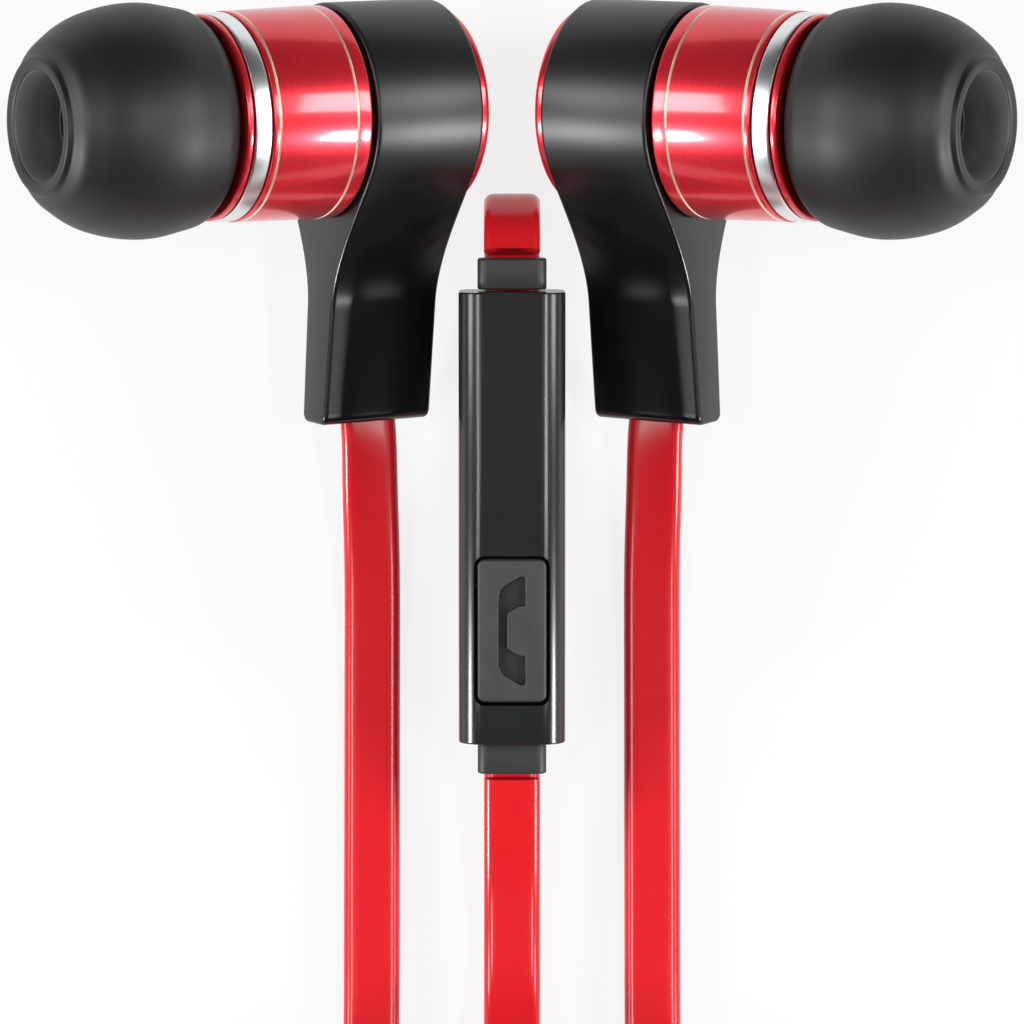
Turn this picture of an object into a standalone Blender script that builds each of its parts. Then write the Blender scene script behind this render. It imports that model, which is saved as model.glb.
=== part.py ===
"""Wired in-ear earphones with a one-button remote, lying on a table.

Two angled earbuds with flat cable, a remote on the main lead,
a splitter, three wound coils and a 3.5 mm plug. Metres, +Z up, table at z = 0.
A bud is modelled with its barrel along its own +Z (towards the ear tip) and its
stem along its own -Y, and an empty sets it on the table.
"""

import math

import bmesh
import bpy
import numpy as np
from mathutils import Matrix, Vector

# ---------------------------------------------------------------- clearances
GAP = 0.0003            # between neighbouring pieces
SEAM = 0.0001           # between stacked rings and split casings
SEGMENTS = 32           # facets round a turned piece

# ---------------------------------------------------------------- earbud
COLLAR_RADIUS = 0.00577
COLLAR_HALF_LENGTH = 0.0032
COLLAR_WALL = 0.0007
CAP_RADIUS = 0.0053
CAP_PROUD = 0.00065
BARREL_LENGTH = 0.00575
BARREL_REAR_RADIUS = 0.00565
BARREL_FRONT_RADIUS = 0.00555
BARREL_WALL = 0.0006
BAND_LENGTH = 0.00095
BAND_RADIUS = 0.0055
FRONT_RING_LENGTH = 0.00035
FRONT_RING_RADIUS = 0.00543
NOZZLE_RADIUS = 0.0023
NOZZLE_WALL = 0.00045
NOZZLE_LENGTH = 0.0072
TIP_RADIUS = 0.00613
TIP_LENGTH = 0.0092
TIP_WALL = 0.0005
TIP_MOUTH_RADIUS = 0.0029

STEM_LENGTH = 0.01665           # from the barrel's axis to the stem's end
STEM_THICKNESS = 0.00246
STEM_WIDTH = 0.00650            # along the barrel, at the stem's end
STEM_LEAN = 0.00080             # how far the stem's end leans to the front
FLARE_START = 0.0034            # where the stem leaves the collar's circle
FLARE_END = 0.0102
FLARE_SLOPE = -0.60
GROMMET_LENGTH = 0.0019
GROMMET_WIDTH = 0.0035
GROMMET_THICKNESS = 0.0012

BUD_SPREAD = 0.00715            # from the middle plane to a collar's centre
BUD_Y = 0.00540
BARREL_RISE = math.radians(31)  # the barrel's rise above the table
STEM_DIP = math.radians(14)     # the stem's dip towards the table

# ---------------------------------------------------------------- remote
REMOTE_WIDTH = 0.00565
REMOTE_LENGTH = 0.0239
REMOTE_DEPTH = 0.0050
REMOTE_ROUND = 0.0013
REMOTE_WALL = 0.0007
REMOTE_TOP_WALL = 0.0010
COVER_DEPTH = 0.0016
BUTTON_WIDTH = 0.00366
BUTTON_LENGTH = 0.00758
BUTTON_THICKNESS = 0.0008
BUTTON_CLEARANCE = 0.00018
BUTTON_TRAVEL = 0.0003
BUTTON_OFFSET = -0.0059         # from the remote's middle, towards its lower end
BUTTON_ROUND = 0.0004
BOARD_WIDTH = 0.0036
BOARD_THICKNESS = 0.0006
SWITCH_SIZE = 0.0026
SWITCH_HEIGHT = 0.0010
BOOT_WIDTH = 0.00365
BOOT_LENGTH = 0.00164
BOOT_DEPTH = 0.0022
BOOT_ROUND = 0.0005
REMOTE_TILT = math.radians(9.7)
REMOTE_Y = -0.0163
REMOTE_HEIGHT = 0.0058

# ---------------------------------------------------------------- splitter
SPLITTER_WIDTH = 0.0062
SPLITTER_LENGTH = 0.0120
SPLITTER_BASE_HEIGHT = 0.0017
SPLITTER_TOP_HEIGHT = 0.0016
SPLITTER_Y = -0.0530

# ---------------------------------------------------------------- plug
PLUG_AXIS_HEIGHT = 0.0028
PLUG_Y = -0.1268
PLUG_START_X = 0.0000
RELIEF_LENGTH = 0.0080
RELIEF_RADIUS = 0.0021
RELIEF_END_RADIUS = 0.0017
GRIP_LENGTH = 0.0135
GRIP_RADIUS = 0.00275
PIN_RADIUS = 0.00175
PIN_LENGTH = 0.0140
PIN_CORE_RADIUS = 0.00085
PIN_TIP_LENGTH = 0.0034
PIN_RING_LENGTH = 0.0019
PIN_DIVIDER = 0.0006

# ---------------------------------------------------------------- flat cable
CABLE_WIDTH = 0.0030
CABLE_THICKNESS = 0.0010
COIL_PITCH = 0.00105            # from one layer of a coil to the next
LEG_COIL_X = 0.0174
LEG_COIL_Y = -0.0660
LEG_CORE_RADIUS = 0.0126        # innermost layer of a leg's coil
LEG_LAYERS = 3.05
MAIN_COIL_Y = -0.1030
MAIN_CORE_RADIUS = 0.0132
MAIN_LAYERS = 5.75

# Routes: x, y, z and the cable's roll in degrees, 0 flat and 90 on edge.
LEG_RUN = [
    (-0.00772, -0.01125, 0.00292, 14), (-0.00764, -0.01400, 0.00218, 8),
    (-0.00755, -0.01800, 0.00130, 2), (-0.00753, -0.02300, 0.00080, 0),
    (-0.00753, -0.03000, 0.00062, 0), (-0.00753, -0.03800, 0.00060, 0),
    (-0.00753, -0.04200, 0.00068, 0), (-0.00753, -0.04480, 0.00090, 6), (-0.00751, -0.04700, 0.00122, 22),
    (-0.00738, -0.05030, 0.00172, 65), (-0.00690, -0.05345, 0.00158, 90),
]
LEG_TAIL = [
    (-0.00160, -0.06310, 0.00156, 90), (-0.00160, -0.06120, 0.00160, 90),
    (-0.00160, -0.05935, 0.00165, 90),
]
LINK_RUN = [
    (0.0, -0.00245, 0.00800), (0.0, -0.00135, 0.00765), (0.0, -0.00005, 0.00645),
    (0.0, 0.00065, 0.00440), (0.0, 0.00005, 0.00235), (0.0, -0.00170, 0.00093),
    (0.0, -0.00430, 0.00057), (0.0, -0.00900, 0.00056), (0.0, -0.01800, 0.00056),
    (0.0, -0.02900, 0.00056), (0.0, -0.03900, 0.00057), (0.0, -0.04300, 0.00090),
    (0.0, -0.04520, 0.00145), (0.0, -0.04665, 0.00165),
]
MAIN_RUN = [
    (0.0, -0.03015, 0.00345, 0), (0.0, -0.03200, 0.00300, 0), (0.0, -0.03550, 0.00215, 0),
    (0.0, -0.03900, 0.00190, 0), (0.0, -0.04200, 0.00230, 0), (0.0, -0.04450, 0.00335, 0),
    (0.0, -0.04720, 0.00425, 0), (0.0, -0.05200, 0.00445, 0), (0.0, -0.05700, 0.00455, 0),
    (0.0, -0.06000, 0.00485, 25), (0.0, -0.06300, 0.00515, 65), (0.0, -0.06650, 0.00480, 90),
    (0.0, -0.07050, 0.00340, 90), (0.00040, -0.07450, 0.00200, 90),
    (0.00210, -0.07830, 0.00158, 90), (0.00560, -0.08250, 0.00156, 90),
    (0.01050, -0.08650, 0.00156, 90), (0.01350, -0.08880, 0.00156, 90),
]
PLUG_TAIL = [
    (-0.01180, -0.11920, 0.00156, 90), (-0.00920, -0.12210, 0.00160, 90),
    (-0.00650, -0.12450, 0.00185, 90), (-0.00370, -0.12610, 0.00235, 80),
    (-0.00030, -0.12680, 0.00278, 60),
]

# ---------------------------------------------------------------- positions that follow
BARREL_START = COLLAR_HALF_LENGTH + GAP
BARREL_END = BARREL_START + BARREL_LENGTH
BAND_START = BARREL_END + SEAM
BAND_END = BAND_START + BAND_LENGTH
RING_START = BAND_END + SEAM
RING_END = RING_START + FRONT_RING_LENGTH
BARREL_BORE = BARREL_FRONT_RADIUS - BARREL_WALL
SPIGOT_RADIUS = BARREL_BORE - GAP
NOZZLE_END = RING_END + NOZZLE_LENGTH
TIP_REAR = RING_END + GAP
TIP_FRONT = TIP_REAR + TIP_LENGTH
TIP_BORE = NOZZLE_RADIUS + GAP

RED = (0.72, 0.014, 0.020)
ANODISED_RED = (0.68, 0.016, 0.026)
BLACK = (0.012, 0.013, 0.013)
SOFT_BLACK = (0.020, 0.021, 0.021)
SILVER = (0.60, 0.62, 0.63)
GOLD = (0.83, 0.62, 0.25)
GREEN = (0.02, 0.16, 0.07)
GREY = (0.16, 0.16, 0.16)


# ================================================================ tools
def clear_scene():
    """Remove every object that the scene starts with."""
    for obj in list(bpy.data.objects):
        bpy.data.objects.remove(obj, do_unlink=True)


def collection(name):
    """Make a collection in the scene."""
    made = bpy.data.collections.new(name)
    bpy.context.scene.collection.children.link(made)
    return made


def material(name, colour, roughness, metallic=0.0):
    """Make a plain Principled material."""
    made = bpy.data.materials.new(name)
    made.use_nodes = True
    surface = made.node_tree.nodes["Principled BSDF"]
    surface.inputs["Base Color"].default_value = (*colour, 1.0)
    surface.inputs["Roughness"].default_value = roughness
    surface.inputs["Metallic"].default_value = metallic
    made.diffuse_color = (*colour, 1.0)
    return made


def place(name, data, look, parent=None):
    """Put data in the part's collection as one named object."""
    obj = bpy.data.objects.new(name, data)
    PART.objects.link(obj)
    data.materials.append(look)
    obj.parent = parent
    return obj


def empty(name, matrix):
    """Make an empty that carries the pieces of a sub-assembly."""
    obj = bpy.data.objects.new(name, None)
    obj.empty_display_size = 0.004
    obj.matrix_world = matrix
    PART.objects.link(obj)
    return obj


def finish_smooth(obj, angle=35):
    """Shade a round piece smooth and keep its hard edges sharp."""
    obj.data.shade_smooth()
    obj.data.set_sharp_from_angle(angle=math.radians(angle))


def turned(name, profile, look, parent=None, steps=SEGMENTS):
    """Turn a closed profile of (radius, height) points, whose outer side runs down."""
    mesh = bpy.data.meshes.new(name)
    count = len(profile)
    edges = [(i, (i + 1) % count) for i in range(count)]
    on_axis = [i for i, (radius, _) in enumerate(profile) if radius == 0.0]
    if len(on_axis) == 2:
        edges.remove((max(on_axis), min(on_axis)))
    mesh.from_pydata([(radius, 0.0, height) for radius, height in profile], edges, [])
    obj = place(name, mesh, look, parent)
    screw = obj.modifiers.new("turn", "SCREW")
    screw.steps = steps
    screw.render_steps = steps
    screw.use_merge_vertices = True
    screw.merge_threshold = 1e-6
    screw.use_smooth_shade = True
    return obj


def block(name, size, centre, look, parent=None, rounding=0.0, steps=3):
    """Make a box, with its edges rounded by a Bevel where rounding is set."""
    mesh = bpy.data.meshes.new(name)
    shape = bmesh.new()
    bmesh.ops.create_cube(shape, size=1.0)
    bmesh.ops.scale(shape, vec=size, verts=shape.verts)
    bmesh.ops.translate(shape, vec=centre, verts=shape.verts)
    shape.to_mesh(mesh)
    shape.free()
    obj = place(name, mesh, look, parent)
    if rounding > 0.0:
        bevel = obj.modifiers.new("rounded", "BEVEL")
        bevel.width = rounding
        bevel.segments = steps
    return obj


def bar(name, size, centre, look, parent, rounding, steps=4):
    """Make a box whose four edges along Y are rounded and whose ends are flat."""
    mesh = bpy.data.meshes.new(name)
    shape = bmesh.new()
    bmesh.ops.create_cube(shape, size=1.0)
    bmesh.ops.scale(shape, vec=size, verts=shape.verts)
    bmesh.ops.translate(shape, vec=centre, verts=shape.verts)
    long_edges = [e for e in shape.edges if abs(e.verts[0].co.y - e.verts[1].co.y) > size[1] / 2]
    bmesh.ops.bevel(shape, geom=long_edges, offset=rounding, segments=steps, profile=0.5,
                    affect="EDGES")
    shape.to_mesh(mesh)
    shape.free()
    return place(name, mesh, look, parent)


def prism(name, outline, bottom, top, look, parent=None):
    """Extrude a flat outline of (x, y) points between two heights, as a mesh."""
    curve = bpy.data.curves.new(name, "CURVE")
    curve.dimensions = "2D"
    curve.fill_mode = "BOTH"
    curve.extrude = (top - bottom) / 2
    line = curve.splines.new("POLY")
    line.points.add(len(outline) - 1)
    for point, (x, y) in zip(line.points, outline):
        point.co = (x, y, 0.0, 1.0)
    line.use_cyclic_u = True
    guide = bpy.data.objects.new(name + "_outline", curve)
    PART.objects.link(guide)
    bpy.context.view_layer.update()
    depsgraph = bpy.context.evaluated_depsgraph_get()
    mesh = bpy.data.meshes.new_from_object(guide.evaluated_get(depsgraph))
    bpy.data.objects.remove(guide, do_unlink=True)
    shape = bmesh.new()
    shape.from_mesh(mesh)
    bmesh.ops.remove_doubles(shape, verts=shape.verts, dist=1e-6)
    bmesh.ops.translate(shape, vec=(0.0, 0.0, (top + bottom) / 2), verts=shape.verts)
    bmesh.ops.recalc_face_normals(shape, faces=shape.faces)
    shape.to_mesh(mesh)
    shape.free()
    mesh.materials.clear()
    return place(name, mesh, look, parent)


def combine(obj, tools, operation):
    """Cut the tools from an object or join them to it, and hide the tools."""
    for tool in tools:
        step = obj.modifiers.new(operation.lower(), "BOOLEAN")
        step.operation = operation
        step.solver = "EXACT"
        step.object = tool
        PART.objects.unlink(tool)
        CUTTERS.objects.link(tool)
        tool.hide_render = True
        tool.display_type = "WIRE"
    return obj


def rounded_outline(width, length, corner, centre_y=0.0, steps=4):
    """Outline of a rectangle in x and y with round corners."""
    outline = []
    for quarter in range(4):
        sign_x = (1, -1, -1, 1)[quarter]
        sign_y = (1, 1, -1, -1)[quarter]
        middle_x = sign_x * (width / 2 - corner)
        middle_y = centre_y + sign_y * (length / 2 - corner)
        for step in range(steps + 1):
            angle = math.radians(90 * quarter + 90 * step / steps)
            outline.append((middle_x + corner * math.cos(angle), middle_y + corner * math.sin(angle)))
    return outline


def smooth_route(points, spacing):
    """Read evenly spaced points from a natural cubic curve through a route's points."""
    knots = np.array(points, dtype=float)
    steps = np.linalg.norm(np.diff(knots[:, :3], axis=0), axis=1)
    where = np.concatenate([[0.0], np.cumsum(steps)])
    count = len(knots)
    system = np.eye(count)
    target = np.zeros_like(knots)
    for i in range(1, count - 1):
        system[i, i - 1] = steps[i - 1]
        system[i, i] = 2 * (steps[i - 1] + steps[i])
        system[i, i + 1] = steps[i]
        rise_after = (knots[i + 1] - knots[i]) / steps[i]
        rise_before = (knots[i] - knots[i - 1]) / steps[i - 1]
        target[i] = 6 * (rise_after - rise_before)
    bends = np.linalg.solve(system, target)
    read = np.linspace(0.0, where[-1], max(2, round(where[-1] / spacing)) + 1)
    span = np.clip(np.searchsorted(where, read, side="right") - 1, 0, count - 2)
    length = steps[span][:, None]
    ahead = (where[span + 1] - read)[:, None]
    behind = (read - where[span])[:, None]
    return (
        bends[span] * ahead ** 3 / (6 * length)
        + bends[span + 1] * behind ** 3 / (6 * length)
        + (knots[span] / length - bends[span] * length / 6) * ahead
        + (knots[span + 1] / length - bends[span + 1] * length / 6) * behind
    )


def flat_cable(name, route, spacing=0.0028, mirror=1.0, twist="Z_UP"):
    """Lay a length of flat cable along a route, as one curve with filled caps."""
    curve = bpy.data.curves.new(name, "CURVE")
    curve.dimensions = "3D"
    curve.twist_mode = twist
    curve.extrude = (CABLE_WIDTH - CABLE_THICKNESS) / 2
    curve.bevel_depth = CABLE_THICKNESS / 2
    curve.bevel_resolution = 2
    curve.use_fill_caps = True
    points = smooth_route(route, spacing)
    line = curve.splines.new("POLY")
    line.points.add(len(points) - 1)
    for point, row in zip(line.points, points):
        roll = row[3] if len(row) > 3 else 0.0
        point.co = (mirror * row[0], row[1], row[2], 1.0)
        point.tilt = math.radians(90 - mirror * roll)
    return place(name, curve, LOOKS["cable"])


def coil_body(name, centre_x, centre_y, core_radius, layers, look):
    """Body of a wound coil of flat cable that stands on edge, up to its last full layer."""
    outer = core_radius + (layers - 1) * COIL_PITCH + CABLE_THICKNESS / 2
    low = 0.00006
    high = low + CABLE_WIDTH
    profile = [(0.0, high), (outer, high), (outer, low), (0.0, low)]
    obj = turned(name, profile, look, steps=40)
    obj.location = (centre_x, centre_y, 0.0)
    return obj


# ================================================================ earbud
def bud_matrix(side):
    """Pose of a bud on the table: side is -1 for the left bud and +1 for the right."""
    dip = Matrix.Rotation(STEM_DIP, 3, "X")
    barrel = dip @ Vector((side * math.cos(BARREL_RISE), 0.0, math.sin(BARREL_RISE)))
    upright = dip @ Vector((0.0, 1.0, 0.0))
    across = upright.cross(barrel)
    rise = barrel.z
    height = COLLAR_HALF_LENGTH * rise + COLLAR_RADIUS * math.sqrt(1 - rise * rise)
    pose = Matrix((across, upright, barrel)).transposed().to_4x4()
    pose.translation = (side * BUD_SPREAD, BUD_Y, height)
    return pose


def stem_half_thickness(down):
    """Half thickness of the stem at a distance below the barrel's axis."""
    if down <= FLARE_START:
        return math.sqrt(COLLAR_RADIUS ** 2 - down ** 2)
    end = STEM_THICKNESS / 2 + 0.00018
    if down >= FLARE_END:
        share = (down - FLARE_END) / (STEM_LENGTH - FLARE_END)
        return end + share * (STEM_THICKNESS / 2 - end)
    start = math.sqrt(COLLAR_RADIUS ** 2 - FLARE_START ** 2)
    length = FLARE_END - FLARE_START
    t = (down - FLARE_START) / length
    return (
        (2 * t ** 3 - 3 * t ** 2 + 1) * start
        + (t ** 3 - 2 * t ** 2 + t) * length * FLARE_SLOPE
        + (3 * t ** 2 - 2 * t ** 3) * end
        - (t ** 3 - t ** 2) * length * 0.08
    )


def lean_stem(mesh):
    """Lean the stem to the front and narrow it, more towards its end."""
    for vertex in mesh.vertices:
        share = max(0.0, (-vertex.co.y - FLARE_START) / (STEM_LENGTH - FLARE_START))
        width = 1 + share * (STEM_WIDTH / (2 * COLLAR_HALF_LENGTH) - 1)
        vertex.co.z = vertex.co.z * width + share * STEM_LEAN


def stem_housing(prefix, pose):
    """Collar and stem in one shell: hollow collar, cable channel down the stem."""
    sides = []
    samples = 14
    for step in range(samples + 1):
        down = FLARE_START + (STEM_LENGTH - FLARE_START) * step / samples
        sides.append((stem_half_thickness(down), -down))
    start_angle = math.atan2(-FLARE_START, sides[0][0])
    arc_steps = 36
    arc = []
    for step in range(1, arc_steps):
        angle = start_angle + (math.pi - 2 * start_angle) * step / arc_steps
        arc.append((COLLAR_RADIUS * math.cos(angle), COLLAR_RADIUS * math.sin(angle)))
    left_side = [(-x, y) for x, y in sides]
    outline = list(reversed(sides)) + arc + left_side
    shell = prism(prefix + "stem_housing", outline, -COLLAR_HALF_LENGTH,
                  COLLAR_HALF_LENGTH, LOOKS["gloss_black"], pose)
    lean_stem(shell.data)
    inner = COLLAR_RADIUS - COLLAR_WALL
    chamber = turned(prefix + "collar_chamber", [
        (0.0, COLLAR_HALF_LENGTH - COLLAR_WALL), (inner, COLLAR_HALF_LENGTH - COLLAR_WALL),
        (inner, -2 * COLLAR_HALF_LENGTH), (0.0, -2 * COLLAR_HALF_LENGTH),
    ], LOOKS["gloss_black"], pose)
    wire_hole = turned(prefix + "collar_wire_hole", [
        (0.0, 2 * COLLAR_HALF_LENGTH), (0.0016, 2 * COLLAR_HALF_LENGTH), (0.0016, 0.0), (0.0, 0.0),
    ], LOOKS["gloss_black"], pose, steps=16)
    channel_length = STEM_LENGTH - inner / 2
    channel = block(prefix + "stem_channel", (0.0013, channel_length, 0.0030),
                    (0.0, -inner / 2 - channel_length / 2 - 0.0002, STEM_LEAN / 2),
                    LOOKS["gloss_black"], pose)
    seat = block(prefix + "grommet_seat",
                 (GROMMET_THICKNESS + 2 * GAP, 2 * (GROMMET_LENGTH + GAP), GROMMET_WIDTH + 2 * GAP),
                 (0.0, -STEM_LENGTH, STEM_LEAN), LOOKS["gloss_black"], pose)
    combine(shell, [chamber, wire_hole, channel, seat], "DIFFERENCE")
    finish_smooth(shell, 30)
    block(prefix + "cable_grommet", (GROMMET_THICKNESS, GROMMET_LENGTH, GROMMET_WIDTH),
          (0.0, -STEM_LENGTH + GROMMET_LENGTH / 2, STEM_LEAN), LOOKS["rubber"], pose, 0.0002, 2)


def rear_cap(prefix, pose):
    """Domed disc with a spigot that closes the collar's rear."""
    rear = -COLLAR_HALF_LENGTH
    spigot = COLLAR_RADIUS - COLLAR_WALL - GAP
    turned(prefix + "rear_cap", [
        (0.0, rear + 0.0003), (spigot - 0.0006, rear + 0.0003), (spigot - 0.0006, rear + 0.0014),
        (spigot, rear + 0.0014), (spigot, rear - SEAM), (CAP_RADIUS, rear - SEAM),
        (CAP_RADIUS, rear - CAP_PROUD + 0.0002), (CAP_RADIUS - 0.0003, rear - CAP_PROUD),
        (0.0, rear - CAP_PROUD),
    ], LOOKS["anodised"], pose)


def barrel(prefix, pose):
    """Metal can that holds the driver, with a hole for its wires at the rear."""
    rear_wall = BARREL_START + 0.0006
    groove_rear = BARREL_START + 0.00085
    groove_front = BARREL_END - 0.00025
    depth = 0.00012
    turned(prefix + "barrel", [
        (BARREL_FRONT_RADIUS, BARREL_END), (BARREL_FRONT_RADIUS, groove_front + 0.0001),
        (BARREL_FRONT_RADIUS - depth, groove_front), (BARREL_FRONT_RADIUS, groove_front - 0.0001),
        (BARREL_REAR_RADIUS, groove_rear + 0.0001), (BARREL_REAR_RADIUS - depth, groove_rear),
        (BARREL_REAR_RADIUS, groove_rear - 0.0001), (BARREL_REAR_RADIUS, BARREL_START + 0.00015),
        (BARREL_REAR_RADIUS - 0.00015, BARREL_START), (0.0016, BARREL_START), (0.0016, rear_wall),
        (BARREL_BORE, rear_wall), (BARREL_BORE, BARREL_END),
    ], LOOKS["anodised"], pose)


def driver(prefix, pose):
    """Frame, magnet and diaphragm of the moving-coil driver."""
    base = BARREL_START + 0.0006 + GAP
    radius = BARREL_BORE - GAP
    inner = radius - 0.0005
    floor = base + 0.0005
    rim = base + 0.0027
    turned(prefix + "driver_frame", [
        (radius, rim), (radius, base), (0.0010, base), (0.0010, floor), (inner, floor), (inner, rim),
    ], LOOKS["steel"], pose)
    magnet_base = floor + GAP
    turned(prefix + "driver_magnet", [
        (0.0, magnet_base + 0.0012), (0.0028, magnet_base + 0.0012), (0.0028, magnet_base),
        (0.0, magnet_base),
    ], LOOKS["steel"], pose)
    seat = rim + GAP
    turned(prefix + "driver_diaphragm", [
        (0.0, seat + 0.0008), (0.0010, seat + 0.0007), (0.0020, seat + 0.0002),
        (0.0028, seat + 0.0005), (radius - 0.0006, seat + 0.0002), (radius, seat + 0.0002),
        (radius, seat), (radius - 0.0006, seat), (0.0028, seat + 0.0003), (0.0020, seat),
        (0.0010, seat + 0.0005), (0.0, seat + 0.0006),
    ], LOOKS["soft_black"], pose)


def front_housing(prefix, pose):
    """Front ring, cone and sound nozzle, with a spigot back into the barrel."""
    bore = NOZZLE_RADIUS - NOZZLE_WALL - 0.0004
    mouth = NOZZLE_RADIUS - NOZZLE_WALL
    shelf = NOZZLE_END - 0.0008
    spigot_end = BARREL_END - 0.0010
    spigot_bore = SPIGOT_RADIUS - 0.0005
    turned(prefix + "front_housing", [
        (mouth, NOZZLE_END), (NOZZLE_RADIUS - 0.0002, NOZZLE_END), (NOZZLE_RADIUS, NOZZLE_END - 0.0003),
        (NOZZLE_RADIUS, RING_END + 0.0006), (NOZZLE_RADIUS + 0.0004, RING_END + 0.0002),
        (FRONT_RING_RADIUS - 0.0002, RING_END), (FRONT_RING_RADIUS, RING_END - 0.0002),
        (FRONT_RING_RADIUS, RING_START), (SPIGOT_RADIUS, RING_START), (SPIGOT_RADIUS, spigot_end),
        (spigot_bore, spigot_end), (spigot_bore, RING_START - 0.0003), (bore, RING_START + 0.0001),
        (bore, shelf), (mouth, shelf),
    ], LOOKS["anodised"], pose)
    turned(prefix + "nozzle_mesh", [
        (0.0, shelf + GAP + 0.00025), (mouth - 0.0002, shelf + GAP + 0.00025),
        (mouth - 0.0002, shelf + GAP), (0.0, shelf + GAP),
    ], LOOKS["steel"], pose, steps=24)


def silver_band(prefix, pose):
    """Bright band between the barrel and the front ring."""
    turned(prefix + "silver_band", [
        (BAND_RADIUS, BAND_END), (BAND_RADIUS, BAND_START), (SPIGOT_RADIUS + GAP, BAND_START),
        (SPIGOT_RADIUS + GAP, BAND_END),
    ], LOOKS["silver"], pose)


def ear_tip(prefix, pose):
    """Silicone tip: a dome with an open skirt, and a tube that grips the nozzle."""
    widest = TIP_REAR + 0.0031
    core = TIP_BORE + TIP_WALL
    outer = [
        (TIP_MOUTH_RADIUS + 0.00035, TIP_FRONT), (TIP_RADIUS * 0.68, TIP_FRONT - 0.0006),
        (TIP_RADIUS * 0.83, TIP_FRONT - 0.0018), (TIP_RADIUS * 0.935, TIP_FRONT - 0.0034),
        (TIP_RADIUS * 0.985, TIP_FRONT - 0.0047), (TIP_RADIUS, widest),
        (TIP_RADIUS * 0.975, widest - 0.0012), (TIP_RADIUS * 0.91, widest - 0.0020),
        (TIP_RADIUS * 0.84, TIP_REAR),
    ]
    inner = [
        (TIP_RADIUS * 0.84 - 0.0004, TIP_REAR + 0.0001),
        (TIP_RADIUS * 0.91 - 0.0005, widest - 0.0018), (TIP_RADIUS - TIP_WALL, widest),
        (TIP_RADIUS * 0.935 - TIP_WALL, TIP_FRONT - 0.0037),
        (TIP_RADIUS * 0.83 - TIP_WALL, TIP_FRONT - 0.0023), (core + 0.0004, TIP_FRONT - 0.0014),
        (core, TIP_FRONT - 0.0018), (core, RING_END + 0.0016), (TIP_BORE, RING_END + 0.0016),
        (TIP_BORE, TIP_FRONT - 0.0006), (TIP_MOUTH_RADIUS, TIP_FRONT - 0.0001),
    ]
    turned(prefix + "ear_tip", outer + inner, LOOKS["silicone"], pose)


def earbud(prefix, side):
    """One complete bud in its place."""
    pose = empty(prefix + "bud", bud_matrix(side))
    stem_housing(prefix, pose)
    rear_cap(prefix, pose)
    barrel(prefix, pose)
    driver(prefix, pose)
    silver_band(prefix, pose)
    front_housing(prefix, pose)
    ear_tip(prefix, pose)


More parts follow.
